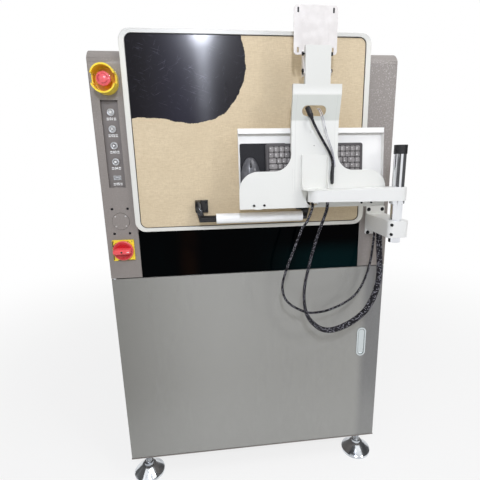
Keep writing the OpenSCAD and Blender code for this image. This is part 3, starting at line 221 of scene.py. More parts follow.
def rgb(r, g, b):
    """Linear colour of three 0 to 255 display values."""
    return tuple((c / 3294.6 if c <= 10 else ((c / 255 + 0.055) / 1.055) ** 2.4) for c in (r, g, b))


def paint(finish, *names):
    """Gives CAD nodes a finish."""
    for name in names:
        slots = frame["nodes"][name].data.materials
        slots.clear()
        slots.append(finish.material)


def powder_coat(name, color, rough, grain=0.00006, mottle=0.05, speck=0.04):
    """Oven-baked paint: orange-peel grain, a slow drift in tone and a fine speckle."""
    coat = Finish(name, color, rough)
    coat.drift = coat.noise(2.2, 3).rises(0.35, 0.65)
    coat.fleck = coat.noise(330, 2).rises(0.38, 0.66)
    low, high, dark = (tuple(min(1, c * share) for c in color)
                       for share in (1 - mottle, 1 + mottle, 1 - 2.6 * speck))
    coat.set("Base Color", coat.mix(coat.fleck * (speck * 6), coat.mix(coat.drift, low, high), dark))
    peel = coat.noise(620, 2)
    coat.set("Roughness", peel * 0.14 + (rough - 0.07))
    return coat.bump(peel + coat.noise(210, 1) * 0.8, grain)


def keep(name, mesh, body, finish=None, nodes=(), sharp=35, bends=None):
    """Makes a piece of a mesh, sets it on its body and lets it stand for CAD nodes.
    One that bends goes over to another body between two points."""
    if finish:
        mesh.materials.clear()
        mesh.materials.append(finish.material)
    if sharp:
        mesh.shade_smooth()
        mesh.set_sharp_from_angle(angle=math.radians(sharp))
    piece = bpy.data.objects.new(name, mesh)
    bpy.context.scene.collection.objects.link(piece)
    if bends:
        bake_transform(piece, body, *bends)
    else:
        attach(piece, body)
    if nodes:
        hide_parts(*nodes)
    return piece


def baked(holder, name):
    """The plain mesh that a holder's modifiers give; the holder goes."""
    bpy.context.scene.collection.objects.link(holder)
    bpy.context.view_layer.update()
    seen = holder.evaluated_get(bpy.context.evaluated_depsgraph_get())
    mesh = bpy.data.meshes.new_from_object(seen)
    mesh.name = name
    bpy.data.objects.remove(holder)
    return mesh


def meshed(form, name):
    """The mesh of a form; the form goes."""
    mesh = bpy.data.meshes.new(name)
    form.to_mesh(mesh)
    form.free()
    return mesh


def centre_of(node):
    return [(low + high) / 2 for low, high in zip(*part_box(node))]


def soften(node, width, finish, segments=2, shrink=1.0, fold=32):
    """A sheet-metal or moulded node with its folds and cut edges rounded. The
    rims of small holes, cut in shorter edges, stay sharp."""
    source, shortest = frame["nodes"][node], 0.003
    form = bmesh.new()
    form.from_mesh(source.data)
    bmesh.ops.remove_doubles(form, verts=form.verts, dist=1e-5)
    weight = form.edges.layers.float.new("bevel_weight_edge")
    for edge in form.edges:
        if edge.is_manifold and edge.calc_face_angle() > math.radians(fold):
            if edge.calc_length() > shortest:
                edge[weight] = 1.0
            else:
                edge.smooth = False
    mesh = meshed(form, node)
    middle = Matrix.Translation(centre_of(node))
    mesh.transform(middle @ Matrix.Diagonal((shrink, 1, shrink, 1)) @ middle.inverted())
    holder = bpy.data.objects.new(node + "_holder", mesh)
    rounding = holder.modifiers.new("edge", "BEVEL")
    rounding.limit_method, rounding.width, rounding.segments = "WEIGHT", width, segments
    rounding.use_clamp_overlap, rounding.face_strength_mode = False, "FSTR_AFFECTED"
    flat = holder.modifiers.new("flat", "WEIGHTED_NORMAL")
    flat.mode, flat.weight, flat.keep_sharp, flat.use_face_influence = "FACE_AREA", 100, True, True
    for polygon in mesh.polygons:
        polygon.use_smooth = True
    sheet = node + "_sheet"
    return keep(sheet, baked(holder, sheet), body_of(source)[0], finish, [node], sharp=0)


cabinet_grey = rgb(140, 133, 128)
cabinet_paint = powder_coat("cabinet_paint", cabinet_grey, 0.46, speck=0.05)
for node in ("left_side_panel", "right_side_panel", "back_panel", "roof_panel"):
    soften(node, 0.0012, cabinet_paint)
pillar_paint = powder_coat("pillar_paint", cabinet_grey, 0.40, grain=0.00025)
across, upright = (pillar_paint.axis(letter) for letter in "XZ")
# Painted light: the right pillar is lighter, the curved tops carry a painted highlight band, and painted glints
# grow upwards and towards the right. The drift and the flecks are the coat's own.
painted_light_right = across.rises(0.3, 0.45)
painted_highlight_top = upright.near(1.525, 0.035)
painted_glints = (pillar_paint.noise(250, 2, 0.6).rises(0.52, 0.70) * (1 - upright.rises(1.49, 1.51))
          * (upright.rises(1.0, 1.45) * 0.6 + 0.4))
pillar_paint.layered(cabinet_grey, (painted_light_right * 0.3, (158, 151, 147)), (painted_highlight_top * 0.25, (170, 162, 156)),
                     (pillar_paint.drift * 0.25, (132, 126, 121)), (pillar_paint.fleck * 0.16, (104, 98, 94)),
                     (painted_glints * (painted_light_right * 0.34 + 0.12), (206, 200, 197)))
for node in ("left_pillar", "right_pillar"):
    soften(node, 0.0012, pillar_paint)
paint(cabinet_paint, "base_frame")
paint(powder_coat("deck_paint", rgb(165, 165, 160), 0.45), "deck_plate")

# ---------------------------------------------------------------- lower door
# One folded sheet in a lighter, smoother grey with a soft sheen, hung on two
# pins at its left edge and shut by a paddle latch near its right edge.
door_paint = Finish("door_paint", rgb(156, 155, 150), 0.3)
across, upright = (door_paint.axis(letter) for letter in "XZ")
drift = door_paint.noise(1.7, 3, 0.5, door_paint.stretched(1, 1, 0.5)).rises(0.3, 0.7)
fleck = door_paint.noise(330, 2).rises(0.4, 0.66)
# Painted light and shade: darker towards the left, a painted shade along the right edge, and lighter towards the
# bottom as a painted reflection of the floor. The drift and the flecks are the paint's own.
door_paint.layered(rgb(108, 107, 101), (across.rises(-0.62, -0.12), (160, 159, 154)),
                   (drift * 0.35, (150, 149, 144)), (across.rises(0.385, 0.425) * 0.7, (104, 104, 106)),
                   ((1 - upright.rises(0.15, 0.45)) * 0.4, (170, 170, 166)), (fleck * 0.08, (110, 108, 104)))
wiped = door_paint.noise(5, 4, 0.6, door_paint.stretched(1, 1, 0.25)).rises(0.45, 0.8)
door_paint.set("Roughness", wiped * 0.10 + door_paint.noise(600, 2) * 0.08 + 0.22)
door_paint.bump(door_paint.noise(520, 2) + door_paint.noise(14, 2) * 0.8, 0.00003)
soften("lower_door", 0.001, door_paint)
satin_chrome = Finish("satin_chrome", rgb(205, 212, 214), 0.22, 1.0)
soften("latch_body", 0.0005, satin_chrome)
soften("latch_paddle", 0.0008, satin_chrome)

# ---------------------------------------------------------------- lifting door
# A cream steel frame holds a tinted acrylic window in a black rubber gasket.
# The acrylic is as delivered: glossy, finely scratched by wiping, and hazy
# where its surface is rubbed.
cream = rgb(222, 221, 214)
cream_paint = powder_coat("cream_paint", cream, 0.35, grain=0.00002)
# The frame's top is a darker cream: painted shade.
cream_paint.layered(cream, (cream_paint.axis("Z").rises(1.535, 1.556), (210, 210, 205)))
soften("lift_door_frame", 0.0016, cream_paint, 3)

acrylic = Finish("tinted_acrylic", rgb(24, 22, 28), 0.22, Specular_IOR_Level=0.10, Coat_Weight=0.5,
                 Coat_Roughness=0.12, Coat_IOR=1.35)
lines = None
for angle, scale in ((0.5, 4.3), (2.3, 4.9), (1.2, 5.3), (2.8, 3.7)):
    along = acrylic.stretched(5.2, 1, 190, acrylic.turned((0, 1, 0), angle))
    line = acrylic.noise(scale, 2, 0.5, along).rises(0.68, 0.74)
    lines = line if lines is None else lines.math("MAXIMUM", line)
wiped = acrylic.noise(6.5, 4, 0.62).rises(0.44, 0.60)
lines = lines * wiped * (1 - acrylic.from_line(-0.12, 1.50).rises(0.06, 0.30) * 0.8)
smear = acrylic.noise(3.1, 3, 0.5, acrylic.stretched(1, 1, 0.35)).rises(0.35, 0.7)
# A lighter, bluish band left of the middle is a painted reflection of a lamp's glow.
painted_glow = acrylic.axis("X").near(-0.20, 0.14)
acrylic.layered(rgb(12, 10, 17), (smear, (24, 21, 28)), (painted_glow * 0.8, (30, 29, 44)),
                (lines * 0.45, (140, 138, 160)))
acrylic.set("Roughness", lines * 0.2 + smear * 0.05 + 0.18)
acrylic.bump(acrylic.noise(420, 1, 0.5, acrylic.stretched(0.02, 1, 1)), 0.00003)
paint(acrylic, "lift_door_window")


def smooth_route(points, step):
    """Points about a step apart on one smooth curve through the given ones."""
    knots = [Vector(p) for p in points]
    knots = [knots[0] * 2 - knots[1], *knots, knots[-1] * 2 - knots[-2]]
    dense = []
    for a, b, c, d in zip(knots, knots[1:], knots[2:], knots[3:]):
        for t in (i / 16 for i in range(16)):
            bend = (a * 2 - b * 5 + c * 4 - d) * t ** 2 + (b * 3 - a - c * 3 + d) * t ** 3
            dense.append((b * 2 + (c - a) * t + bend) / 2)
    dense.append(knots[-2])
    runs = np.cumsum([0] + [(q - p).length for p, q in zip(dense, dense[1:])])
    shares = np.linspace(0, runs[-1], max(2, round(runs[-1] / step) + 1))
    return [Vector(p) for p in zip(*(np.interp(shares, runs, [p[i] for p in dense]) for i in range(3)))]


def swept(name, stations, around=20, ring=False):
    """A closed round skin over stations, each a centre, a direction and a
    radius. Its UV map holds turns round it and metres along it."""
    form = bmesh.new()
    chart = form.loops.layers.uv.new("UVMap")
    across = stations[0][1].orthogonal().normalized()
    if ring:
        across = Vector((0, 1, 0))
        stations = [*stations, stations[0]]
    loops, runs, run, last = [], [], 0.0, stations[0]
    for centre, along, radius in stations:
        across = (across - along * across.dot(along)).normalized()
        beside = along.cross(across)
        loops.append([form.verts.new(centre + (across * math.cos(a) + beside * math.sin(a)) * radius)
                      for a in (k * math.tau / around for k in range(around))])
        run += math.hypot((centre - last[0]).length, radius - last[2])
        last = (centre, along, radius)
        runs.append(run)
    for i, (low, high) in enumerate(zip(loops, loops[1:])):
        for k in range(around):
            n = (k + 1) % around
            face = form.faces.new((low[k], low[n], high[n], high[k]))
            for corner, (u, v) in zip(face.loops, ((k, i), (k + 1, i), (k + 1, i + 1), (k, i + 1))):
                corner[chart].uv = (u / around, runs[v])
    if not ring:
        form.faces.new(loops[0][::-1])
        form.faces.new(loops[-1])
    bmesh.ops.remove_doubles(form, verts=form.verts, dist=1e-7)
    return meshed(form, name)


def along_route(path, radius):
    """Stations of a cord on a path; radius is a number or a function of the share
    of its length."""
    last = len(path) - 1
    return [(p, (path[min(i + 1, last)] - path[max(i - 1, 0)]).normalized(),
             radius(i / last) if callable(radius) else radius) for i, p in enumerate(path)]


def round_ring(points, radius):
    """Stations of a closed bead through points."""
    return [(p, (points[(i + 1) % len(points)] - points[i - 1]).normalized(), radius)
            for i, p in enumerate(points)]


def rounded_outline(cx, cz, width, height, radius, step=0.004):
    """Points (x, z) of a rounded rectangle, anticlockwise as seen from the front."""
    points = []
    for sx, sz, start in ((1, -1, -90), (1, 1, 0), (-1, 1, 90), (-1, -1, 180)):
        mx, mz = cx + sx * (width / 2 - radius), cz + sz * (height / 2 - radius)
        arc = [math.radians(start + 90 * i / 10) for i in range(11)]
        points += [(mx + radius * math.cos(a), mz + radius * math.sin(a)) for a in arc]
    full = []
    for (x, z), (u, w) in zip(points, points[1:] + points[:1]):
        count = max(1, int(math.hypot(u - x, w - z) / step))
        full += [(x + (u - x) * i / count, z + (w - z) * i / count) for i in range(count)]
    return full


def finished(name, tone, rough, worn=None, patches=None, over=None, grain=None, metal=0.0, **fixed):
    """A finish in one tone, or one that goes over to a worn tone in patches: a
    noise, and the range it shows over. Its roughness is a number, or how much
    the patches, or a noise of its own named first, add to the least. Grain is
    the scale, detail and depth of its relief."""
    made = Finish(name, rgb(*tone), 0.5, metal, **fixed)
    if patches:
        spots = made.noise(*patches)
        spots = spots.rises(*over) if over else spots
        made.layered(rgb(*tone), (spots, worn))
    if isinstance(rough, tuple):
        *own, added, least = rough
        rough = (made.noise(*own) if own else spots) * added + least
    made.set("Roughness", rough)
    return made.bump(made.noise(*grain[:2]), grain[2]) if grain else made


window_wide, window_tall, bead = 0.722, 0.568, 0.0009
window_z = centre_of("lift_door_frame")[2]
glass_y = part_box("lift_door_window")[0][1]
rubber = finished("gasket_rubber", (20, 20, 22), 0.55, (42, 42, 46), (90, 2), (0.35, 0.7), (700, 1, 0.00005))
lip = rounded_outline(0, window_z, window_wide - 0.0022, window_tall - 0.0022, 0.020)
lip = round_ring([Vector((x, glass_y - bead, z)) for x, z in lip], bead)
keep("window_gasket", swept("window_gasket", lip, 8, ring=True), "lift_door", rubber)

# ---------------------------------------------------------------- fascia
# A strip of black glossy acrylic closes the front below the lifting door. It
# is clean and smooth, with faint marks of wiping.
black_gloss = Finish("black_gloss", rgb(4, 9, 12), 0.04, Specular_IOR_Level=0.02)
across, upright = (black_gloss.axis(letter) for letter in "XZ")
wiped = black_gloss.noise(4, 4, 0.6, black_gloss.stretched(1, 1, 0.4)).rises(0.4, 0.75)
# A greenish tone over the right, below the top, and a brownish patch at the left are painted reflections. The
# wiping marks are real.
painted_green_reflection = across.rises(0.0, 0.3) * (1 - upright.rises(0.86, 0.93))
painted_brown_reflection = across.near(-0.215, 0.05) * black_gloss.noise(9, 2).rises(0.3, 0.7)
black_gloss.layered(rgb(0, 0, 1), (wiped, (0, 2, 3)), (painted_green_reflection, (2, 24, 26)), (painted_brown_reflection, (14, 6, 3)))
black_gloss.set("Roughness", wiped * 0.08 + 0.03)
paint(black_gloss, "fascia_panel")

# ---------------------------------------------------------------- masking film
# Brown kraft-paper masking on the acrylic, torn away from its upper left
# corner. It is thin, laid a little unevenly, with long fibres in its face.
film_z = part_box("lift_door_frame")[0][2]
film_inset = 0.0018
tear = [(-0.359, 0.346), (-0.330, 0.3485), (-0.300, 0.348), (-0.255, 0.343), (-0.222, 0.336), (-0.180, 0.332),
        (-0.142, 0.337), (-0.115, 0.345), (-0.077, 0.365), (-0.046, 0.402), (-0.027, 0.437), (-0.016, 0.475),
        (-0.014, 0.509), (-0.015, 0.531), (-0.022, 0.560), (-0.0265, 0.578)]


def ragged(route, step, reach, seed):
    """A torn line: bites of paper at three sizes, square to the route."""
    torn = []
    path = smooth_route([(x, 0, z) for x, z in route], step)
    for i, p in enumerate(path[1:-1], 1):
        aside = (path[i + 1] - path[i - 1]).normalized().cross(Vector((0, 1, 0)))
        bite = (roughly.noise(p * 45 + Vector((seed, 0, 0))) + 0.5 * roughly.noise(p * 210)
                + 0.3 * roughly.noise(p * 620))
        torn.append(p + aside * bite * reach)
    return [(p.x, p.z) for p in [path[0], *torn, path[-1]]]


outline = rounded_outline(0, window_z, window_wide - 2 * film_inset, window_tall - 2 * film_inset, 0.019)
outline = [(x, z - film_z) for x, z in outline]
torn_line = ragged(tear, 0.0014, 0.0034, 3.0)
left, right = torn_line[0], torn_line[-1]


def kept(x, z):
    """Whether a point of the outline lies on the film's side of the tear."""
    return not (z > left[1] and x < right[0])


start = next(i for i in range(len(outline)) if kept(*outline[i]) and not kept(*outline[i - 1]))
border = [p for p in outline[start:] + outline[:start] if kept(*p)]
film_top = window_tall / 2 + window_z - film_z - film_inset
border = [(-window_wide / 2 + film_inset, left[1]), *border, (right[0], film_top), *torn_line[-2:0:-1]]
grid, jitter = 0.007, 0.0013
inner = [(x * grid + jitter * roughly.noise(Vector((x, z, 0)) * 3.7),
          z * grid + jitter * roughly.noise(Vector((z, x, 5)) * 3.1))
         for x in range(-51, 52) for z in range(1, 83)]
flat = [Vector(p) for p in border + inner]
found, _, faces, _, _, _ = delaunay_2d_cdt(flat, [], [list(range(len(border)))], 1, 1e-6)
spots = np.array([tuple(p) for p in found])
from_tear = np.sqrt(((spots[:, None, :] - np.array(torn_line)[None, ::2, :]) ** 2).sum(axis=2)).min(axis=1)
glue, paper, unevenness, lifted_rim, rim_wide = 0.00004, 0.00025, 0.0001, 0.0003, 0.007
form = bmesh.new()
skin = []
for (x, z), gap in zip(spots, from_tear):
    lift = paper + unevenness * roughly.noise(Vector((x, 0, z)) * 14)
    lift += lifted_rim * max(0.0, 1 - gap / rim_wide)
    skin.append(form.verts.new((x, glass_y - lift, z + film_z)))
for face in faces:
    form.faces.new([skin[i] for i in face])
form.normal_update()
if sum(face.normal.y for face in form.faces) > 0:
    bmesh.ops.reverse_faces(form, faces=form.faces)
for part in bmesh.ops.extrude_face_region(form, geom=form.faces[:])["geom"]:
    if isinstance(part, bmesh.types.BMVert):
        part.co.y = glass_y - glue
bmesh.ops.recalc_face_normals(form, faces=form.faces)
bmesh.ops.delete(form, geom=[v for v in form.verts if not v.link_faces], context="VERTS")
kraft = Finish("kraft_paper", rgb(208, 191, 160), 0.72)
fibres = (kraft.noise(760, 3, 0.65, kraft.stretched(0.09, 1, 1)) * 1.2
          + kraft.noise(620, 3, 0.65, kraft.stretched(1, 1, 0.2)) * 0.8)
clouds = kraft.noise(7, 4, 0.6).rises(0.35, 0.68)
creases = (kraft.noise(4.5, 3, 0.5, kraft.stretched(1, 1, 1.6)) - 0.5).math("ABSOLUTE").rises(0, 0.035)
kraft.layered(rgb(201, 182, 150), (fibres.rises(0.70, 1.30), (220, 203, 172)),
              (clouds * 0.4, (202, 184, 152)))
kraft.bump(fibres * 0.04 + creases * 0.25 + kraft.noise(28, 2) * 0.4, 0.0010, 0.5)
keep("masking_film", meshed(form, "masking_film"), "lift_door", kraft, ["window_film"])

# ---------------------------------------------------------------- door handle
# A round steel rod, painted black, on two welded lugs whose pads are screwed
# through the window. A white polypropylene sleeve turns on the rod.
black_paint = powder_coat("black_paint", rgb(21, 20, 22), 0.26, speck=0.02)


def closed_mesh(form, name):
    """The mesh of a form, with its doubles merged and its faces turned outwards."""
    bmesh.ops.remove_doubles(form, verts=form.verts, dist=1e-6)
    bmesh.ops.dissolve_degenerate(form, edges=form.edges, dist=1e-7)
    bmesh.ops.recalc_face_normals(form, faces=form.faces)
    return meshed(form, name)


def walled(form, loops):
    """Faces between loops of equal length, with both ends closed."""
    for low, high in zip(loops, loops[1:]):
        for i in range(len(low)):
            form.faces.new((low[i - 1], low[i], high[i], high[i - 1]))
    form.faces.new(loops[0][::-1])
    form.faces.new(loops[-1])


def skinned(form, rings, chamfer=0.0015):
    """A closed skin over rings of four corners, its long edges cut back a little."""
    loops = []
    for ring in rings:
        corners = [Vector(p) for p in ring]
        loops.append([form.verts.new(p + (beside - p).normalized() * chamfer) for i, p in enumerate(corners)
                      for beside in (corners[i - 1], corners[(i + 1) % 4])])
    walled(form, loops)


def upright_ring(x0, x1, z0, z1, y):
    return [(x0, y, z0), (x1, y, z0), (x1, y, z1), (x0, y, z1)]


bar_low, bar_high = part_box("handle_bar")
pad_back, floor_z, top_z = bar_high[1], bar_low[2], bar_high[2]
pad, pad_thick, strut_wide, strut_tall = 0.040, 0.0062, 0.018, 0.033
# Below the pad a strut slants inwards: how far in, how high over the handle's
# floor, and how far its front and its back stand off the glass.
slants = ((0.0, 0.046, 0.030, 0.004), (0.006, 0.028, 0.036, 0.010),
          (0.010, 0.012, 0.036, 0.012), (0.012, 0.0008, 0.035, 0.013))
handle = bmesh.new()
for s in (-1, 1):
    outer = s * bar_high[0]
    skinned(handle, [upright_ring(outer - s * pad, outer, top_z - pad, top_z, y)
                     for y in (pad_back, pad_back - 0.0060, glass_y - pad_thick)])
    strut = [upright_ring(outer - s * strut_wide, outer, high - strut_tall, high, glass_y - out)
             for high, out in ((top_z - 0.001, 0.0060), (top_z - 0.003, 0.0180))]
    for inwards, high, front, back in slants:
        a, b = outer - s * (0.019 + inwards), outer - s * inwards
        strut.append([(x, glass_y - out, floor_z + high + rise)
                      for x, out, rise in ((a, back, 0), (b, back, 0), (b, front, 0.002), (a, front, 0.002))])
    skinned(handle, strut)
rod_y, rod_z = bar_low[1] + 0.014, floor_z + 0.014
rod_profile = ((-0.171, 0.0095), (-0.1695, 0.0105), (0.1695, 0.0105), (0.171, 0.0095))
rod = [(Vector((x, rod_y, rod_z)), Vector((1, 0, 0)), r) for x, r in rod_profile]
handle.from_mesh(swept("rod", rod, 40))
keep("handle_frame", closed_mesh(handle, "handle_frame"), "lift_door", black_paint, ["handle_bar"], 40)
white_sleeve = Finish("white_sleeve", rgb(236, 236, 233), 0.38)
handled = white_sleeve.noise(26, 3, 0.6, white_sleeve.stretched(0.25, 1, 1)).rises(0.42, 0.72)
white_sleeve.layered(rgb(252, 252, 251), (handled, (240, 240, 236)))
white_sleeve.set("Roughness", handled * 0.14 + 0.32)
white_sleeve.bump(white_sleeve.noise(300, 2, 0.5, white_sleeve.stretched(0.08, 1, 1)), 0.00006)
soften("handle_grip", 0.001, white_sleeve)


class Recipe:
    """A node tree that sets copies of a form on spots. It is filled with named
    inputs, ends in plain geometry with one finish, and is used for every kind
    of fastener, key and mark."""
    def __init__(self, name):
        self.tree = tree = bpy.data.node_groups.new(name, "GeometryNodeTree")
        self.names = {}
        for label, kind in (("Spots", "Geometry"), ("Form", "Object"), ("Size", "Float"),
                            ("Finish", "Material")):
            item = tree.interface.new_socket(label, in_out="INPUT", socket_type="NodeSocket" + kind)
            self.names[label] = item.identifier
        tree.interface.new_socket("Copies", in_out="OUTPUT", socket_type="NodeSocketGeometry")
        given, form, place, plain, coat, out = (tree.nodes.new(kind) for kind in (
            "NodeGroupInput", "GeometryNodeObjectInfo", "GeometryNodeInstanceOnPoints",
            "GeometryNodeRealizeInstances", "GeometryNodeSetMaterial", "NodeGroupOutput"))
        turn, size = (tree.nodes.new("GeometryNodeInputNamedAttribute") for _ in range(2))
        for reader, label in ((turn, "turn"), (size, "size")):
            reader.data_type = "FLOAT_VECTOR"
            reader.inputs["Name"].default_value = label
        angle, whole = tree.nodes.new("FunctionNodeEulerToRotation"), tree.nodes.new("ShaderNodeVectorMath")
        whole.operation = "SCALE"
        for source, leaves, target, enters in (
                (given, "Spots", place, "Points"), (given, "Form", form, "Object"),
                (form, "Geometry", place, "Instance"), (turn, "Attribute", angle, 0),
                (angle, 0, place, "Rotation"), (size, "Attribute", whole, 0),
                (given, "Size", whole, "Scale"), (whole, 0, place, "Scale"), (place, 0, plain, 0),
                (plain, 0, coat, "Geometry"), (given, "Finish", coat, "Material"), (coat, 0, out, 0)):
            tree.links.new(source.outputs[leaves], target.inputs[enters])

    def copies(self, name, form, spots, finish, body, nodes=(), sharp=35):
        """Keeps a form on spots as one piece; each is a place, a turn (Euler) and a size."""
        mesh = bpy.data.meshes.new(name + "_spots")
        mesh.from_pydata([tuple(spot[0]) for spot in spots], [], [])
        for label, column in (("turn", 1), ("size", 2)):
            values = mesh.attributes.new(label, "FLOAT_VECTOR", "POINT")
            for item, spot in zip(values.data, spots):
                item.vector = spot[column]
        holder = bpy.data.objects.new(name + "_spots", mesh)
        original = bpy.data.objects.new(name + "_form", form)
        layout = holder.modifiers.new("layout", "NODES")
        layout.node_group = self.tree
        for label, value in (("Form", original), ("Size", 1.0), ("Finish", finish.material)):
            layout[self.names[label]] = value
        made = baked(holder, name)
        bpy.data.objects.remove(original)
        keep(name, made, body, nodes=nodes, sharp=sharp)


set_out = Recipe("set_out")


def facing(x, y, z):
    """The turn that points a form's Z along that direction."""
    return tuple(Vector((x, y, z)).to_track_quat("Z", "Y").to_euler())


def lathed(name, profile, around=24):
    """A form of revolution about Z; its profile holds (height, radius) pairs."""
    return swept(name, [(Vector((0, 0, h)), Vector((0, 0, 1)), max(r, 1e-5)) for h, r in profile], around)


def head(place, direction, radius, height):
    """The spot of a fastener's head: its place, its turn and its size."""
    return place, facing(*direction), (radius, radius, height)


# Socket-head screws through the handle's pads: black, with a round-bottomed
# driver recess.
forwards = (0, -1, 0)
socket_head = lathed("socket_head", [(0, 1), (0.78, 1), (0.92, 0.97), (1, 0.88), (1, 0.56), (0.96, 0.52),
                                     (0.45, 0.5), (0.35, 0)])
black_oxide = finished("black_oxide", (28, 28, 31), (240, 2, 0.25, 0.25), grain=(900, 1, 0.00003), metal=0.7)
spots = [head((sx * (bar_high[0] - 0.034), glass_y - 0.0068, top_z - 0.020 + dz), forwards, 0.0028, 0.0022)
         for sx in (-1, 1) for dz in (-0.0125, 0.0125)]
set_out.copies("handle_screws", socket_head, spots, black_oxide, "lift_door")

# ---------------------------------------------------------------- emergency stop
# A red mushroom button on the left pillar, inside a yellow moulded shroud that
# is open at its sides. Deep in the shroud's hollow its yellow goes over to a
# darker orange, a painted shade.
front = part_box("left_pillar")[0][1]
stop_x, _, stop_z = centre_of("estop_button")
stop_at = Vector((stop_x, front, stop_z))
yellow_plastic = finished("yellow_plastic", (250, 219, 48), (0.16, 0.26), (236, 200, 44), (60, 3, 0.6),
                          (0.42, 0.72), (520, 2, 0.00004), Coat_Weight=0.2)
shroud_plastic = finished("shroud_plastic", (250, 222, 52), (0.16, 0.28), (240, 204, 46), (70, 3, 0.6),
                          (0.4, 0.72), (480, 2, 0.00005), Coat_Weight=0.2)
# Painted shade: a darker orange deep in the shroud's hollow.
inside = 1 - shroud_plastic.from_line(stop_x, stop_z).rises(0.028, 0.036)
deep = (shroud_plastic.axis("Y") - front).rises(-0.036, -0.012)
shroud_plastic.layered(shroud_plastic.base, (inside * deep * 0.85, (226, 146, 30)))
soften("estop_shroud", 0.0018, shroud_plastic, 3, shrink=0.87)
red_plastic = finished("red_plastic", (234, 98, 106), (0.15, 0.24), (222, 84, 92), (80, 3, 0.6), (0.4, 0.75),
                       (600, 1, 0.00003), Coat_Weight=0.15)


def fronted(name, form, at, body, finish, nodes=(), sharp=40):
    """Sets a form made along Z on its place at the front, pointing forwards."""
    turn = Vector(forwards).to_track_quat("Z", "Y").to_matrix().to_4x4()
    form.transform(Matrix.Translation(at) @ turn)
    keep(name, form, body, finish, nodes, sharp)


def dome(r):
    """Height of the button's domed face over the pillar, at a radius."""
    return 0.0399 - 0.0061 * (r / 0.0186) ** 2


mushroom = [(-0.0005, 0.0068), (0.016, 0.0068), (0.0165, 0.0138), (0.0238, 0.0138), (0.0242, 0.0190),
            (0.0250, 0.0198), (0.0325, 0.0199), (0.0338, 0.0194)]
mushroom += [(dome(r), r) for r in (0.0186, 0.0165, 0.0148, 0.0141, 0.0134, 0.0127, 0.0112, 0.008, 0.004, 0)]
fronted("mushroom_button", lathed("mushroom_button", mushroom, 56), stop_at, "estop_button", red_plastic,
        ["estop_button"], 50)


def band(form, at, inner, outer, begin, end, y_at, thick=0.0002, count=14, tip=0.0):
    """A raised arc strip on a dome or a flat, seen from the front; a tip makes an
    arrow of it."""
    def spot(r, a):
        return at.x + r * math.cos(a), at.z + r * math.sin(a), y_at(r)

    turns = [math.radians(begin + (end - begin) * i / count) for i in range(count + 1)]
    ring = [[spot(inner, a), spot(outer, a)] for a in turns]
    if tip:
        last = math.radians(end)
        ring.append([spot(inner - 0.0011, last), spot(outer + 0.0011, last)])
        ring.append([spot((inner + outer) / 2, last + math.radians(math.copysign(tip, end - begin)))] * 2)
    walled(form, [[form.verts.new((x, y + side, z)) for (x, z, y), side in (
        (pair[0], -thick), (pair[1], -thick), (pair[1], thick), (pair[0], thick))] for pair in ring])


arrows = bmesh.new()
for begin in (100, 220, 340):
    band(arrows, stop_at, 0.0124, 0.0136, begin, begin - 74, lambda r: front - dome(r), 0.00035, tip=18)
dark_red = finished("dark_red_print", (140, 30, 38), 0.4, (170, 44, 50), (400, 2))
keep("turn_arrows", closed_mesh(arrows, "turn_arrows"), "estop_button", dark_red)
dashes = bmesh.new()
for begin, end in ((18, 31), (35, 44), (48, 60), (236, 248), (252, 262), (266, 278), (282, 294), (298, 306)):
    band(dashes, stop_at, 0.0236, 0.0262, begin, end, lambda r: front - 0.0052, count=4)
black_print = finished("black_print", (34, 28, 20), 0.5, (70, 56, 30), (300, 2), (0.4, 0.7))
keep("shroud_marks", closed_mesh(dashes, "shroud_marks"), "cabinet", black_print)

# ---------------------------------------------------------------- push buttons
# Four metal push buttons and a socket stand in a recessed panel. Each button
# is a domed steel cap in a bevelled ring, with an inlaid white sign; a number
# between two bars is printed below it.
recess_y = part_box("control_panel")[1][1] - 0.002
panel_x = stop_x
steel = finished("bright_steel", (214, 216, 218), (380, 3, 0.22, 0.14), (190, 192, 196), (26, 2),
                 grain=(1200, 1, 0.00002), metal=1.0)
cap_steel = finished("cap_steel", (206, 208, 210), (900, 2, 0.2, 0.2), grain=(700, 2, 0.00003), metal=0.7)
dark_inlay = finished("dark_inlay", (92, 91, 92), 0.4, (124, 123, 124), (300, 2), grain=(900, 2, 0.00002))
print_white = finished("print_white", (246, 246, 244), 0.45, (228, 228, 226), (500, 2), (0.3, 0.7))
cap_profile = [(0, 0.0112), (0.0030, 0.0112), (0.0037, 0.0106), (0.0040, 0.0096), (0.0036, 0.0091),
               (0.0022, 0.0089), (0.0050, 0.0088), (0.0057, 0.0083), (0.0057, 0.0076), (0.0053, 0.0069),
               (0.0053, 0)]


def plate(form, corners, y, thick):
    """A thin raised sign of any outline, given as (x, z) points from the front."""
    near, far = ([form.verts.new((x, y + side * thick, z)) for x, z in corners] for side in (-1, 1))
    walled(form, [far, near])


def printed(name, outlines, y, body, finish, thick=0.00025, form=None):
    """A piece of flat signs, beside what its form holds already."""
    form = form or bmesh.new()
    for corners in outlines:
        plate(form, corners, y, thick)
    keep(name, closed_mesh(form, name), body, finish, sharp=0)


def numbered(name, text, x, z, height, y, finish):
    """A printed number, centred on a place, as a raised mesh that faces the front."""
    curve = bpy.data.curves.new(name, "FONT")
    curve.body, curve.size, curve.align_x, curve.align_y = text, height / 0.72, "CENTER", "CENTER"
    curve.extrude, curve.offset = 0.0002, height * 0.035
    mesh = baked(bpy.data.objects.new(name, curve), name)
    mesh.transform(Matrix.Translation((x, y, z)) @ Matrix.Rotation(math.radians(90), 4, "X"))
    keep(name, mesh, "cabinet", finish, sharp=0)


def polar(x, z, r, degrees):
    return x + r * math.cos(math.radians(degrees)), z + r * math.sin(math.radians(degrees))


def circle_points(x, z, r, count=20):
    return [polar(x, z, r, k * 360 / count) for k in range(count)]


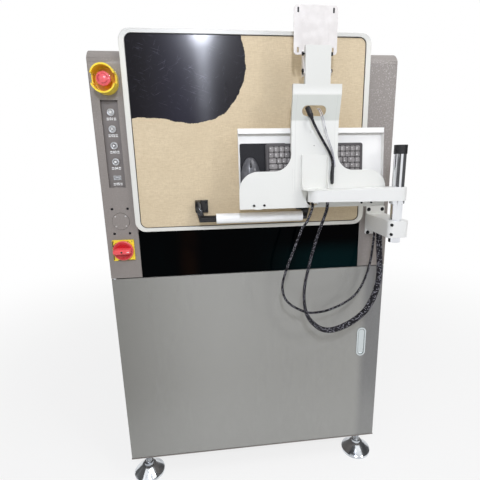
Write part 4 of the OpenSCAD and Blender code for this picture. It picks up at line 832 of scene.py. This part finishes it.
def bar_points(x, z, long, wide, angle=0):
    """The corners of a bar, from its middle and its half length and half width."""
    c, s = polar(0, 0, 1, angle)
    corners = ((-long, -wide), (long, -wide), (long, wide), (-long, wide))
    return [(x + u * c - w * s, z + u * s + w * c) for u, w in corners]


def rays(x, z, out, long, angles):
    """Strokes that point away from a place."""
    return [bar_points(*polar(x, z, out, a), long, 0.0007, a) for a in angles]


levels = []
for name in ("laser", "lamp", "start", "stop"):
    node = name + "_push_button"
    x, _, z = centre_of(node)
    levels.append(z)
    cap = lathed(name + "_cap", cap_profile, 40)
    fronted(name + "_cap", cap, (x, recess_y + 0.0004, z), node, cap_steel, [node])
    printed(name + "_inlay", [circle_points(x, z, 0.0072, 32)], recess_y - 0.0049, node, dark_inlay, 0.0001)
    sign, face = bmesh.new(), recess_y - 0.0051
    if name == "laser":
        marks = [circle_points(x, z, 0.0024), *rays(x, z, 0.0045, 0.0017, [k * 45 + 22.5 for k in range(8)])]
    elif name == "lamp":
        band(sign, Vector((x, 0, z)), 0.0020, 0.0034, 0, 360, lambda r: face, 0.00025, 24)
        marks = rays(x, z, 0.0049, 0.0013, (45, 90, 135, 225, 315))
    elif name == "start":
        marks = [[(x - 0.0028, z - 0.0040), (x + 0.0044, z), (x - 0.0028, z + 0.0040)]]
    else:
        marks = [bar_points(x, z, 0.0032, 0.0032)]
    printed(name + "_sign", marks, face, node, print_white, form=sign)

socket_x, _, socket_z = centre_of("usb_socket")
for number, level in enumerate([*levels, socket_z], 1):
    tag, z = "%02d" % number, level - 0.0195
    numbered("number_" + tag, tag, panel_x, z, 0.0078, recess_y, print_white)
    bars = [bar_points(panel_x + dx, z + dz, 0.0034, 0.0011)
            for dx in (-0.0104, 0.0104) for dz in (-0.0024, 0.0024)]
    printed("number_bars_" + tag, bars, recess_y, "cabinet", print_white)

soften("usb_socket", 0.0004, steel)
white_insert = finished("white_insert", (236, 238, 240), 0.4, (216, 218, 222), (200, 2),
                        grain=(400, 2, 0.00004))
tongue = bar_points(socket_x, socket_z + 0.0009, 0.0058, 0.0009)
printed("socket_tongue", [tongue], recess_y + 0.0030, "cabinet", white_insert, 0.0030)
soften("control_panel", 0.0006, powder_coat("recess_paint", rgb(118, 112, 109), 0.48))

# ---------------------------------------------------------------- blanking plate
# A round steel plate fills an unused hole. It is sprayed with the pillar and
# held by four small caps; four black bolts stand round it.
plate_y, plate_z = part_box("blanking_plate")[0][1], centre_of("blanking_plate")[2]
paint(pillar_paint, "blanking_plate")
button_head = lathed("button_head", [(0, 1), (0.25, 1), (0.62, 0.86), (0.9, 0.58), (1, 0.4), (0.55, 0.34),
                                     (0.5, 0)], 20)
pale_cap = finished("pale_cap", (220, 218, 214), 0.4, (188, 186, 184), (500, 2))
spots = [head((x, plate_y + 0.001, z), forwards, 0.0026, 0.0016)
         for x, z in (polar(panel_x, plate_z, 0.0225, a) for a in (45, 135, 225, 315))]
set_out.copies("plate_caps", button_head, spots, pale_cap, "cabinet")
spots = [head((panel_x + dx, front + 0.0002, plate_z + dz), forwards, 0.0036, 0.0015)
         for dx in (-0.024, 0.024) for dz in (-0.040, 0.040)]
set_out.copies("plate_bolts", button_head, spots, black_oxide, "cabinet")
rim = [Vector((x, front - 0.0001, z)) for x, z in circle_points(panel_x, plate_z, 0.0268, 60)]
keep("plate_joint", swept("plate_joint", round_ring(rim, 0.0005), 6, ring=True), "cabinet", black_print)

# ---------------------------------------------------------------- main switch
# A rotary isolator: a round red knob with a grip bar across it, on a square
# yellow plate printed with 0 and 1 and three arcs.
def stacked(name, layers, power=7, count=24):
    """A closed form of squares with full corners, each (height, half width, half
    depth). A higher power makes the corners sharper."""
    square = []
    for c, s in circle_points(0, 0, 1, count):
        full = (abs(c) ** power + abs(s) ** power) ** (1 / power)
        square.append((c / full, s / full))
    form = bmesh.new()
    walled(form, [[form.verts.new((x * wide, y * deep, h)) for x, y in square] for h, wide, deep in layers])
    return closed_mesh(form, name)


knob_x, _, knob_z = centre_of("switch_knob")
knob_face, plate_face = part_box("switch_knob")[0][1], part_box("switch_plate")[0][1]
soften("switch_plate", 0.0008, yellow_plastic)
knob_red = finished("knob_red", (200, 30, 40), (0.14, 0.24), (182, 24, 34), (70, 3, 0.6), (0.4, 0.75),
                    (600, 1, 0.00003), Coat_Weight=0.2)
# A lighter red on the knob's rounded rim is a painted highlight.
painted_rim_highlight = knob_red.from_line(knob_x, knob_z).rises(0.0282, 0.0308)
knob_red.layered(knob_red.base, (painted_rim_highlight * 0.9, (232, 100, 98)))
disc = [(0.0004, 0.0290), (0.0008, 0.0312), (0.0020, 0.0320), (0.0068, 0.0320), (0.0080, 0.0312),
        (0.0088, 0.0292), (0.0092, 0.0240), (0.0078, 0.0215), (0.0078, 0)]
fronted("knob_disc", lathed("knob_disc", disc, 56), (knob_x, plate_face, knob_z), "switch_knob", knob_red,
        ["switch_knob"])
grip_red = finished("grip_red", (240, 88, 92), (0.14, 0.26), (226, 70, 76), (90, 3, 0.6), (0.4, 0.75),
                    (600, 1, 0.00003), Coat_Weight=0.2)
grip_tall = 0.0212
grip = stacked("knob_grip", [(0, 0.0286, 0.0092), (0.010, 0.0282, 0.0082), (0.0185, 0.0274, 0.0074),
                             (0.0206, 0.0264, 0.0064), (grip_tall, 0.0245, 0.0046)], 5, 40)
fronted("knob_grip", grip, (knob_x, knob_face + grip_tall, knob_z), "switch_knob", grip_red, sharp=50)
marks = bmesh.new()
for begin, end in ((196, 236), (128, 158), (46, 68)):
    band(marks, Vector((knob_x, 0, knob_z)), 0.0330, 0.0342, begin, end, lambda r: plate_face, count=8)
for dx, dz, long, wide in ((-0.0320, 0, 0.0016, 0.0318), (0.006, -0.0330, 0.0260, 0.0010)):
    plate(marks, bar_points(knob_x + dx, knob_z + dz, long, wide), plate_face, 0.0002)
keep("switch_arcs", closed_mesh(marks, "switch_arcs"), "cabinet", black_print)
for text, dx in (("0", 0.0285), ("1", -0.0285)):
    numbered("switch_" + text, text, knob_x + dx, knob_z + 0.0285, 0.005, plate_face, black_print)
for name, mark, ink in (("knob_centre", circle_points(knob_x, knob_z, 0.0030), black_print),
                        ("knob_pointer", bar_points(knob_x + 0.0195, knob_z, 0.0034, 0.0011), print_white)):
    printed(name, [mark], knob_face - 0.0001, "switch_knob", ink, 0.0002)

# ---------------------------------------------------------------- mast and arm
# A chromed tube stands in a split clamp on a bracket bolted to the right
# pillar. A white box-section arm turns on it and carries the stand's pin.
white_paint = powder_coat("white_paint", rgb(231, 231, 228), 0.4, grain=0.00002, mottle=0.012, speck=0.008)
for node in ("mast_bracket", "swing_arm"):
    soften(node, 0.0008, white_paint)
chrome = finished("chrome", (232, 234, 238), 0.07, (212, 214, 220), (9, 3), (0.4, 0.7), metal=1.0)
chrome.set("Roughness", chrome.noise(30, 4, 0.6, chrome.stretched(1, 1, 0.15)).rises(0.4, 0.75) * 0.10 + 0.05)
paint(chrome, "mast_pole", "mast_collar")
black_plastic = finished("black_plastic", (18, 18, 20), (300, 2, 0.2, 0.25), (36, 36, 39), (120, 3),
                         (0.4, 0.7), (700, 2, 0.00004))
soften("mast_cap", 0.0012, black_plastic)
paint(black_oxide, "bracket_screws", "stand_screws")
paint(steel, "door_pivot_pins", "guide_rails", "lift_rods", "stand_pivot_pin", "tray_hinges")

# ---------------------------------------------------------------- screen stand
# One laser-cut plate, folded twice, makes the wings, the column and the neck.
# It is painted white, and lightly scored near the column's edges.
stand_x = centre_of("stand_plate")[0]
stand_paint = powder_coat("stand_paint", rgb(240, 240, 236), 0.38, grain=0.00002)
across, inwards, upright = (stand_paint.axis(letter) for letter in "XYZ")
column = upright.rises(1.095, 1.105) * (1 - upright.rises(1.368, 1.372))
score = (across - stand_x).math("ABSOLUTE").near(0.0585, 0.0014) * column
lower_wing = upright.rises(1.106, 1.108) * (1 - upright.rises(1.168, 1.170))
groove = (across - 0.1118).math("ABSOLUTE").near(0.0036, 0.0011) * lower_wing
score = score.math("MAXIMUM", groove)
soiled = stand_paint.noise(11, 4, 0.65).rises(0.55, 0.8)
fleck = stand_paint.noise(340, 2).rises(0.40, 0.66)
painted_shade_step = upright.near(1.3375, 0.0365).rises(0.0, 0.06) * (1 - inwards.rises(-0.514, -0.508))
# Painted shade: the slanted step under the neck and the neck above it are darker, and the scores and the groove
# are darkened besides their bump. The soiling and the flecks are the paint's own.
stand_paint.layered(rgb(229, 229, 224), (fleck * 0.05, (196, 196, 192)),
                    (painted_shade_step * 0.6, (198, 202, 194)), (upright.rises(1.372, 1.40) * 0.6, (206, 206, 200)),
                    (soiled * 0.25, (224, 221, 212)), (score * 0.35, (196, 196, 192)))
stand_paint.bump(stand_paint.noise(620, 2) * 0.08 - score, 0.0003, 0.6)
for node in ("stand_plate", "stand_bracket"):
    soften(node, 0.0008, stand_paint, fold=11)
screen_low, screen_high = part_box("screen_plate")
screen_body = body_of(frame["nodes"]["screen_plate"])[0]
film_white = powder_coat("film_white", rgb(232, 229, 226), 0.3)
bubbled = (film_white.noise(34, 4, 0.65).rises(0.38, 0.62) * 0.5
           + film_white.cells(48, "SMOOTH_F1").rises(0.2, 0.6) * 0.5)
film_white.layered(rgb(228, 224, 221), (bubbled * 0.5, (204, 199, 195)))
film_white.bump(bubbled, 0.0006, 0.5)
backing = bmesh.new()
backing.from_mesh(frame["nodes"]["screen_plate"].data)
for vert in backing.verts:
    if vert.co.y < screen_high[1] - 0.0045 and vert.co.z > screen_low[2] + 0.012:
        vert.co.y = screen_high[1] - 0.0032
keep("screen_backing", closed_mesh(backing, "screen_backing"), screen_body, film_white, ["screen_plate"], 0)

# Black strips in the gasket's rubber fill the plate's upper slots as painted
# shade, so that the slots look dark.
slots = [rounded_outline(stand_x + dx, 1.593, 0.0050, 0.0138, 0.0024, 0.01) for dx in (-0.050, 0.050)]
printed("slot_strips", slots, -0.5056, screen_body, rubber, 0.0011)

# ---------------------------------------------------------------- keyboard tray
# A folded white tray, hinged under the stand and shut up against it. A compact
# keyboard lies in it, half on a foam pad with the mouse.
tray_white = powder_coat("tray_white", rgb(243, 242, 239), 0.42, grain=0.00002, mottle=0.012, speck=0.008)
soften("keyboard_tray", 0.0006, tray_white)
tilt = math.radians(85)
tray_turn = Matrix.Rotation(tilt, 4, "X")


def tray_box(points):
    """The box of some points along the tray's width, its depth and its normal."""
    flat = np.array([tuple(tray_turn.inverted() @ Vector(p)) for p in points])
    return flat.min(axis=0), flat.max(axis=0)


key_plastic = finished("key_plastic", (126, 122, 121), (-0.12, 0.5), (146, 142, 141), (40, 3), (0.4, 0.7),
                       (1100, 2, 0.00003))
key_cap = stacked("key_cap", [(0, 0.5, 0.5), (0.35, 0.497, 0.497), (0.80, 0.462, 0.455), (0.95, 0.435, 0.425),
                              (1.0, 0.405, 0.39), (0.985, 0.30, 0.29), (0.955, 0.12, 0.12),
                              (0.95, 0.001, 0.001)])
field_low, field_high = tray_box([v.co for v in frame["nodes"]["keyboard_keys"].data.vertices])
rows, between = 6, 0.0012
pitch, step = (field_high[0] - field_low[0]) / 18, (field_high[1] - field_low[1]) / rows
widths = ((1,) * 18, (1,) * 18, (1.5,) + (1,) * 14 + (1.5, 1), (1.75,) + (1,) * 13 + (1.25, 1, 1),
          (2.25,) + (1,) * 12 + (1.75, 1, 1), (1.25, 1, 1.25, 1.25, 6.25, 1.25, 1, 1.75, 1, 1, 1))
key_spots, mark_spots = [], []
for row, keys in enumerate(widths):
    at, y = field_low[0], field_high[1] - step * (row + 0.5)
    for number, share in enumerate(keys):
        wide = share * pitch
        key_spots.append((tray_turn @ Vector((at + wide / 2, y, field_low[2])), (tilt, 0, 0),
                          (wide - between, step - between, field_high[2] - field_low[2])))
        if share < 2:
            for dx, dy, size in ((-0.0022, 0.0022, 0.0026), (-0.0022, -0.0022, 0.0018 * (number * 7 % 3))):
                if size:
                    place = tray_turn @ Vector((at + wide / 2 + dx, y + dy, field_high[2] - 0.00012))
                    mark_spots.append((place, (tilt, 0, 0), (size + 0.0008 * (number % 2), 0.0016, 0.0002)))
        at += wide
field, middle = field_high - field_low, (field_low + field_high) / 2
# A near-black sheet under the keys, darker than the case, is painted shade in the gaps between them.
well = stacked("key_well", [(0, 0.5, 0.5), (1, 0.5, 0.5)], 60, 48)
well.transform(tray_turn @ Matrix.Translation((middle[0], middle[1], field_low[2] - 0.0002))
               @ Matrix.Diagonal((field[0] + 0.001, field[1] + 0.001, 0.0008, 1)))
well_black = finished("well_black", (28, 26, 27), 0.6, (44, 42, 43), (200, 2), grain=(900, 2, 0.00003))
keep("key_well", well, "tray", well_black, sharp=30)
set_out.copies("key_caps", key_cap, key_spots, key_plastic, "tray", ["keyboard_keys"], 40)
key_mark = stacked("key_mark", [(-1, 0.5, 0.5), (1, 0.5, 0.5)], 12, 12)
set_out.copies("key_marks", key_mark, mark_spots, print_white, "tray")
case_plastic = finished("case_plastic", (58, 55, 56), 0.5, (78, 74, 75), (60, 3), grain=(900, 2, 0.00004))
soften("keyboard_case", 0.0008, case_plastic)
pad_cloth = Finish("pad_cloth", rgb(26, 26, 29), 0.9)
knit = pad_cloth.cells(900)
pad_cloth.layered(rgb(20, 20, 23), (knit.rises(0.1, 0.7), (40, 40, 44)))
pad_cloth.bump(knit, 0.00015)
soften("mouse_pad", 0.0008, pad_cloth)

# The mouse narrows and falls away to its front; a wheel and a seam divide it.
mouse_plastic = finished("mouse_plastic", (80, 80, 84), (0.15, 0.28), (104, 104, 108), (45, 3, 0.6),
                         (0.4, 0.7), (900, 2, 0.00003), Coat_Weight=0.15)
low, high = tray_box([v.co for v in frame["nodes"]["mouse"].data.vertices])
base = tray_turn @ Vector(((low[0] + high[0]) / 2, (low[1] + high[1]) / 2, low[2]))
wide, deep, tall = high - low
shell = stacked("mouse_shell", [(0, 0.44, 0.46), (0.06, 0.485, 0.49), (0.22, 0.5, 0.5), (0.42, 0.482, 0.492),
                                (0.62, 0.43, 0.455), (0.80, 0.345, 0.385), (0.92, 0.24, 0.285),
                                (0.98, 0.13, 0.165), (1.0, 0.001, 0.001)], 2.7, 40)
shell.transform(Matrix.Diagonal((wide, deep, tall, 1)))
for vert in shell.vertices:
    forward = max(0.0, vert.co.y / (deep / 2))
    vert.co.x *= 1 - 0.30 * forward
    vert.co.z *= 1 - 0.22 * forward ** 2
shell.transform(Matrix.Translation(base) @ tray_turn)
keep("mouse_shell", shell, "tray", mouse_plastic, ["mouse"], 50)
half = [(0.0010, 0.0082), (0.0026, 0.0078), (0.0032, 0.0070), (0.0032, 0)]
wheel = lathed("mouse_wheel", [(-h, r) for h, r in half[::-1]] + half, 28)
wheel.transform(Matrix.Translation(base + tray_turn @ Vector((0, deep * 0.24, tall - 0.0078))) @ tray_turn
                @ Matrix.Rotation(math.radians(90), 4, "Y"))
keep("mouse_wheel", wheel, "tray", black_plastic)
seam = [base + tray_turn @ Vector((0, deep * (0.10 + 0.035 * k), tall * (0.985 - 0.0042 * k * k)))
        for k in range(10)]
seam = along_route(smooth_route(seam, 0.002), 0.0005)
keep("mouse_seam", swept("mouse_seam", seam, 6), "tray", black_plastic)

# ---------------------------------------------------------------- cords
# A braided lead runs from a connector in the column's oblong hole down to a
# rubber boot. Two braided sleeves hang in loops to the mast's bracket, from
# the arm's tip and from the stand's round hole, and follow the arm as it
# swings; the thicker one widens where it is bunched.
def braided(name, light, strands, pitch):
    """A woven sleeve: two families of flat strands that pass over and under each other."""
    dark = rgb(18, 17, 21)
    sleeve = Finish(name, dark, 0.42, Specular_IOR_Level=0.2)
    round_it, along_it = sleeve.axis("X", sleeve.uv) * strands, sleeve.axis("Y", sleeve.uv) * (1 / pitch)
    one, other = round_it + along_it, round_it - along_it
    one_top, other_top = (1 - (v.math("FRACT") - 0.5).math("ABSOLUTE") * 2 for v in (one, other))
    cell = sleeve.node("ShaderNodeCombineXYZ", None, [one.math("FLOOR"), other.math("FLOOR"), 0.0])
    chance = sleeve.node("ShaderNodeTexWhiteNoise", None, {"Vector": cell}, "Value")
    over = ((one.math("FLOOR") + other.math("FLOOR")) * 0.5).math("FRACT") * 2
    height = one_top * over + other_top * (1 - over)
    bright = (one_top * other_top).rises(0.16, 0.38) * chance.rises(0.62, 0.80)
    # The strands are lighter along their middles and darker where they dip under each other, a painted shade of
    # the weave.
    sleeve.layered(dark, (height * 0.6, (44, 42, 48)), (bright, light))
    sleeve.set("Roughness", 0.75 - height * 0.2)
    return sleeve.bump(height, 0.0007)


lead_route = [(0.160, -0.540, 1.308), (0.161, -0.5424, 1.3026), (0.1655, -0.542, 1.293), (0.175, -0.540, 1.277),
              (0.186, -0.537, 1.260), (0.199, -0.5335, 1.241), (0.212, -0.531, 1.222), (0.222, -0.529, 1.204),
              (0.2275, -0.527, 1.190), (0.229, -0.526, 1.180), (0.229, -0.526, 1.170)]
braid_route = [(0.209, -0.549, 1.073), (0.208, -0.548, 1.05), (0.201, -0.541, 1.019), (0.186, -0.535, 0.969),
               (0.17, -0.532, 0.91), (0.16, -0.528, 0.859), (0.152, -0.524, 0.812), (0.15, -0.52, 0.766),
               (0.155, -0.516, 0.722), (0.167, -0.513, 0.688), (0.188, -0.509, 0.66), (0.217, -0.505, 0.637),
               (0.25, -0.501, 0.629), (0.29, -0.497, 0.636), (0.33, -0.493, 0.653), (0.368, -0.49, 0.681),
               (0.393, -0.486, 0.715), (0.41, -0.482, 0.752), (0.42, -0.478, 0.795), (0.422, -0.474, 0.842),
               (0.42, -0.47, 0.887), (0.418, -0.466, 0.928), (0.418, -0.463, 0.953), (0.419, -0.456, 0.972),
               (0.422, -0.441, 0.982), (0.425, -0.423, 0.983), (0.426, -0.407, 0.983)]
thin_route = [(0.172, -0.514, 1.0634), (0.1715, -0.522, 1.0621), (0.169, -0.530, 1.0536), (0.161, -0.5335, 1.0315),
              (0.15, -0.534, 1.008), (0.137, -0.533, 0.99), (0.124, -0.531, 0.955), (0.11, -0.527, 0.914),
              (0.096, -0.523, 0.872), (0.085, -0.519, 0.834), (0.08, -0.515, 0.803), (0.086, -0.511, 0.767),
              (0.103, -0.507, 0.739), (0.134, -0.503, 0.715), (0.169, -0.501, 0.699), (0.2, -0.489, 0.691),
              (0.238, -0.485, 0.694), (0.28, -0.481, 0.706), (0.322, -0.478, 0.727), (0.35, -0.475, 0.753),
              (0.37, -0.472, 0.788), (0.383, -0.469, 0.822), (0.392, -0.467, 0.859), (0.397, -0.464, 0.893),
              (0.401, -0.461, 0.925), (0.404, -0.457, 0.955), (0.405, -0.453, 0.975)]


def swelling(share):
    """The braided loop's radius: it is bunched and wide past a third of its length."""
    t = min(1.0, max(0.0, (share - 0.3) / 0.25))
    return 0.0046 + 0.0052 * t * t * (3 - 2 * t)


# The connector and the boot are one soft moulding each, ribbed for bending.
soft_black = finished("soft_black", (24, 23, 26), (90, 2, 0.25, 0.35), (48, 46, 50), (150, 3), (0.4, 0.7),
                      (900, 2, 0.00005))
stand_body = body_of(frame["nodes"]["lead_plug"])[0]
axis = Vector((5, -14, -20)).normalized()
plug_start = Vector(lead_route[0]) - axis * 0.0393
plug_profile = [(0, 0.0066), (0.0006, 0.0074), (0.002, 0.0079), (0.022, 0.0079), (0.0248, 0.0076)]
for k in range(5):
    h, r = 0.0256 + 0.0026 * k, 0.0074 - 0.00062 * k
    plug_profile += [(h + up, r + out) for up, out in (
        (0, 0), (0.0006, 0.0002), (0.0014, 0), (0.0017, -0.0010), (0.0023, -0.0011))]
plug_profile += [(0.0388, 0.0044), (0.0391, 0.0040)]
plug = swept("lead_connector", [(plug_start + axis * h, axis, r) for h, r in plug_profile], 32)
plug_piece = keep("lead_connector", plug, stand_body, soft_black, ["lead_plug"], 40)
boot_x, boot_y = 0.229, -0.5261
boot_profile = [(1.1212, 0.0012), (1.1222, 0.0030), (1.1245, 0.0045), (1.127, 0.0049), (1.146, 0.0049)]
for z in (1.1465 + 0.0052 * k for k in range(5)):
    boot_profile += [(z, 0.0050), (z + 0.0030, 0.0050), (z + 0.0036, 0.0044), (z + 0.0046, 0.0044)]
boot_profile += [(1.1728, 0.0049), (1.1738, 0.0045), (1.1738, 0.0037), (1.165, 0.0036)]
boot, tabs = bmesh.new(), bmesh.new()
for wide, tall, y, thick in ((0.006, 0.034, -0.5208, 0.0053), (0.012, 0.048, -0.5175, 0.0010)):
    plate(tabs, rounded_outline(boot_x, 1.146, wide, tall, wide / 2 - 0.0002, 0.01), y, thick)
body = swept("boot_body", [(Vector((boot_x, boot_y, z)), Vector((0, 0, 1)), r) for z, r in boot_profile], 32)
for part in (body, closed_mesh(tabs, "boot_tabs")):
    boot.from_mesh(part)
keep("lead_boot", meshed(boot, "lead_boot"), stand_body, soft_black, sharp=40)

lead_path = smooth_route(lead_route, 0.003)
lead = keep("stand_lead_sleeve", swept("stand_lead_sleeve", along_route(lead_path, 0.0037), 20),
            body_of(frame["nodes"]["stand_lead"])[0], braided("lead_braid", (112, 110, 118), 5, 0.0044),
            ["stand_lead"], 60)

# Each loop bends where it nears the mast, between the two points given last.
loop_path = smooth_route(braid_route, 0.004)
loop = keep("braided_sleeve", swept("braided_sleeve", along_route(loop_path, swelling), 28),
            body_of(frame["nodes"]["braided_loop"])[0], braided("loom_braid", (172, 170, 180), 11, 0.0052),
            ["braided_loop"], 60, ("arm", (0.424, -0.5, 0.955), (0.324, -0.5, 0.915)))
thin_path = smooth_route(thin_route, 0.004)
thin = keep("thin_sleeve", swept("thin_sleeve", along_route(thin_path, 0.0038), 18),
            body_of(frame["nodes"]["thin_loop"])[0], braided("thin_braid", (172, 170, 178), 5, 0.0048),
            ["thin_loop"], 60, ("arm", (0.407, -0.5, 0.970), (0.307, -0.5, 0.930)))

# Two thin clear-sheathed leads run beside the stand's lead, from the oblong
# hole's middle to the boot.
sheath = finished("clear_sheath", (176, 174, 182), 0.22, (216, 215, 220), (60, 2), (0.35, 0.65),
                  (300, 2, 0.00004), Coat_Weight=0.3)
clear_route = ((0.1800, 1, -0.5150, 1.3380), (0.1825, 1, -0.5240, 1.3330), (0.1865, 1, -0.5330, 1.3200),
               (0.1915, 1, -0.5352, 1.3020), (0.2010, 1, -0.5330, 1.2700), (0.2125, 0.9, -0.5300, 1.2420),
               (0.2230, 0.7, -0.5270, 1.2200), (0.2310, 0.4, -0.5240, 1.2000), (0.2350, 0.3, -0.5232, 1.1830),
               (0.2362, 0.3, -0.5230, 1.1720))
for number, aside in enumerate((0.0, 0.0052)):
    clear_path = smooth_route([(x + aside * share, y, z) for x, share, y, z in clear_route], 0.003)
    clear = swept("clear_lead", along_route(clear_path, 0.0011), 12)
    clear = keep("clear_lead_%d" % number, clear, stand_body, sheath, sharp=60)

# ---------------------------------------------------------------- feet
# Four levelling feet: a bright cone on a threaded stud, with a lock nut
# against the base frame.
foot_plating = finished("foot_plating", (226, 230, 234), 0.16, (180, 184, 190), (22, 3), (0.4, 0.7),
                        metal=1.0)
foot_plating.set("Roughness", foot_plating.noise(40, 4, 0.6).rises(0.35, 0.75) * 0.16 + 0.10)
thread = (foot_plating.axis("Z") * 900).math("SINE")
foot_plating.bump(thread * foot_plating.axis("Z").rises(0.047, 0.050), 0.0006)
paint(foot_plating, "levelling_feet")

# ---------------------------------------------------------------- inside
# The marking head hangs on an aluminium column over a slotted table. The
# laser source and the controller stand in the base in black sheet cases.
anodised = Finish("anodised", rgb(172, 174, 178), 0.38, 0.9)
grain = anodised.noise(260, 2, 0.5, anodised.stretched(1, 1, 0.04))
anodised.layered(rgb(164, 166, 170), (grain.rises(0.35, 0.65), (186, 188, 192)))
anodised.set("Roughness", grain * 0.25 + 0.26)
anodised.bump(grain, 0.00003)
paint(anodised, "lift_cylinders", "door_carriages", "work_table", "head_column")
casing = powder_coat("black_casing", rgb(38, 38, 41), 0.45, speck=0.03)
paint(casing, "laser_head", "laser_source", "controller_pc")

# ---------------------------------------------------------------- panel screws
# Pan-head screws hold the side, roof and back panels to the frame inside.
pan_head = [(0, 1), (0.35, 1), (0.72, 0.88), (0.95, 0.6), (1, 0.45), (0.55, 0.30), (0.5, 0)]
pan_head = lathed("pan_head", pan_head, 16)
zinc = finished("zinc_plate", (198, 200, 200), (500, 2, 0.2, 0.22), grain=(900, 1, 0.00003), metal=1.0)
wall_x, (_, back_y, roof_z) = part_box("right_side_panel")[1][0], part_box("roof_panel")[1]
edge_x, screw = 0.464, (0.0042, 0.0024)
side_rows = [(y, z) for y in (-0.330, -0.06, 0.22, 0.50) for z in (0.125, 1.495)]
side_rows += [(0.522, z) for z in (0.47, 0.81, 1.16)]
spots = []
for s in (-1, 1):
    spots += [head((s * wall_x, y, z), (s, 0, 0), *screw) for y, z in side_rows]
    spots += [head((s * edge_x, back_y, z), (0, 1, 0), *screw) for z in (0.14, 0.47, 0.81, 1.16, 1.49)]
    spots += [head((s * edge_x, y, roof_z), (0, 0, 1), *screw) for y in (-0.30, 0.10, 0.52)]
set_out.copies("panel_screws", pan_head, spots, zinc, "cabinet")

# ---------------------------------------------------------------- studio
# A white floor that keeps a soft shadow, and an even light from above and in
# front. The room is white to the camera and has bays only in reflections.
def lamp(name, place, aim, size, power, tint=(1, 1, 1)):
    light = bpy.data.lights.new(name, "AREA")
    light.shape = "RECTANGLE"
    light.size, light.size_y = size
    light.energy = power
    light.color = tint
    holder = bpy.data.objects.new(name, light)
    holder.location = place
    holder.rotation_euler = (Vector(aim) - Vector(place)).to_track_quat("-Z", "Y").to_euler()
    bpy.context.scene.collection.objects.link(holder)


cool = (0.84, 0.88, 1.0)
lamp("key_light", (1.2, -1.6, 3.4), (0.1, 0, 0.9), (1.2, 1.2), 20)
lamp("window_light", (1.8, -2.5, 2.05), (0, 0, 0.9), (0.3, 0.3), 9)
lamp("fill_light", (-1.7, -2.3, 2.0), (0, 0, 1.0), (1.6, 1.6), 9)
lamp("top_light", (0, -0.3, 3.4), (0, -0.2, 0), (2.6, 2.2), 10)
lamp("ceiling_tube", (-0.175, -2.3, 2.20), (-0.17, 0, 1.4), (0.13, 0.20), 15, cool)
for number, (height, power) in enumerate(((2.02, 1.9), (1.86, 1.2), (1.70, 0.7), (1.54, 0.35))):
    lamp("far_window_%d" % number, (-0.168, -2.3, height), (-0.168, 0, height), (0.085, 0.16), power, cool)

floor = bpy.data.objects.new("floor", bpy.data.meshes.new("floor"))
floor.data.from_pydata([(-9, -9, 0), (9, -9, 0), (9, 9, 0), (-9, 9, 0)], [], [(0, 1, 2, 3)])
bpy.context.scene.collection.objects.link(floor)
pale = Finish("pale_floor", (0.9, 0.9, 0.9), 0.7)
seen = sum(pale.node("ShaderNodeLightPath", None, [], ray) for ray in ("Is Camera Ray", "Is Glossy Ray"))
away = pale.node("ShaderNodeVectorMath", {"operation": "LENGTH"}, [pale.place], 1).rises(0.9, 3.2)
glow = pale.node("ShaderNodeEmission", None, [(1, 1, 1, 1), 1.0])
shine = seen.math("MINIMUM", 1) * (away * 0.22 + 0.78)
whole = pale.node("ShaderNodeMixShader", None, [shine, Value(pale, pale.shader.outputs[0]), glow])
pale.join(whole, pale.nodes["Material Output"].inputs["Surface"])
floor.data.materials.append(pale.material)

world = bpy.data.worlds.new("pale_room")
bpy.context.scene.world = world
world.use_nodes = True
room = world.node_tree.nodes["Background"]
room.inputs["Color"].default_value = (1, 1, 1, 1)
join = world.node_tree.links.new


def sky(kind, inputs=(), **settings):
    """A node of the room's light; inputs are numbers or other nodes' outputs."""
    made = world.node_tree.nodes.new(kind)
    for key, setting in settings.items():
        setattr(made, key, setting)
    for socket, given in zip(made.inputs, inputs):
        if isinstance(given, (int, float)):
            socket.default_value = given
        elif given is not None:
            join(given, socket)
    return made.outputs


# The bays are light and dark in turn, as a workshop's windows and walls are.
ray = sky("ShaderNodeLightPath")
bays = sky("ShaderNodeSeparateXYZ", [sky("ShaderNodeTexCoord")["Generated"]])
turn = sky("ShaderNodeMath", [bays[0], 4.2, 0.9], operation="MULTIPLY_ADD")[0]
wave = sky("ShaderNodeMath", [turn], operation="SINE")[0]
bay = sky("ShaderNodeMapRange", [wave, -0.25, 0.35, 0.10, 1.0], interpolation_type="SMOOTHSTEP")[0]
plain = sky("ShaderNodeMath", [ray["Is Camera Ray"], ray["Is Transmission Ray"]], operation="MAXIMUM")[0]
lit = sky("ShaderNodeMix", [ray["Is Glossy Ray"], None, 0.40, bay])[0]
strength = sky("ShaderNodeMix", [plain, None, lit, 1.0])[0]
join(strength, room.inputs["Strength"])
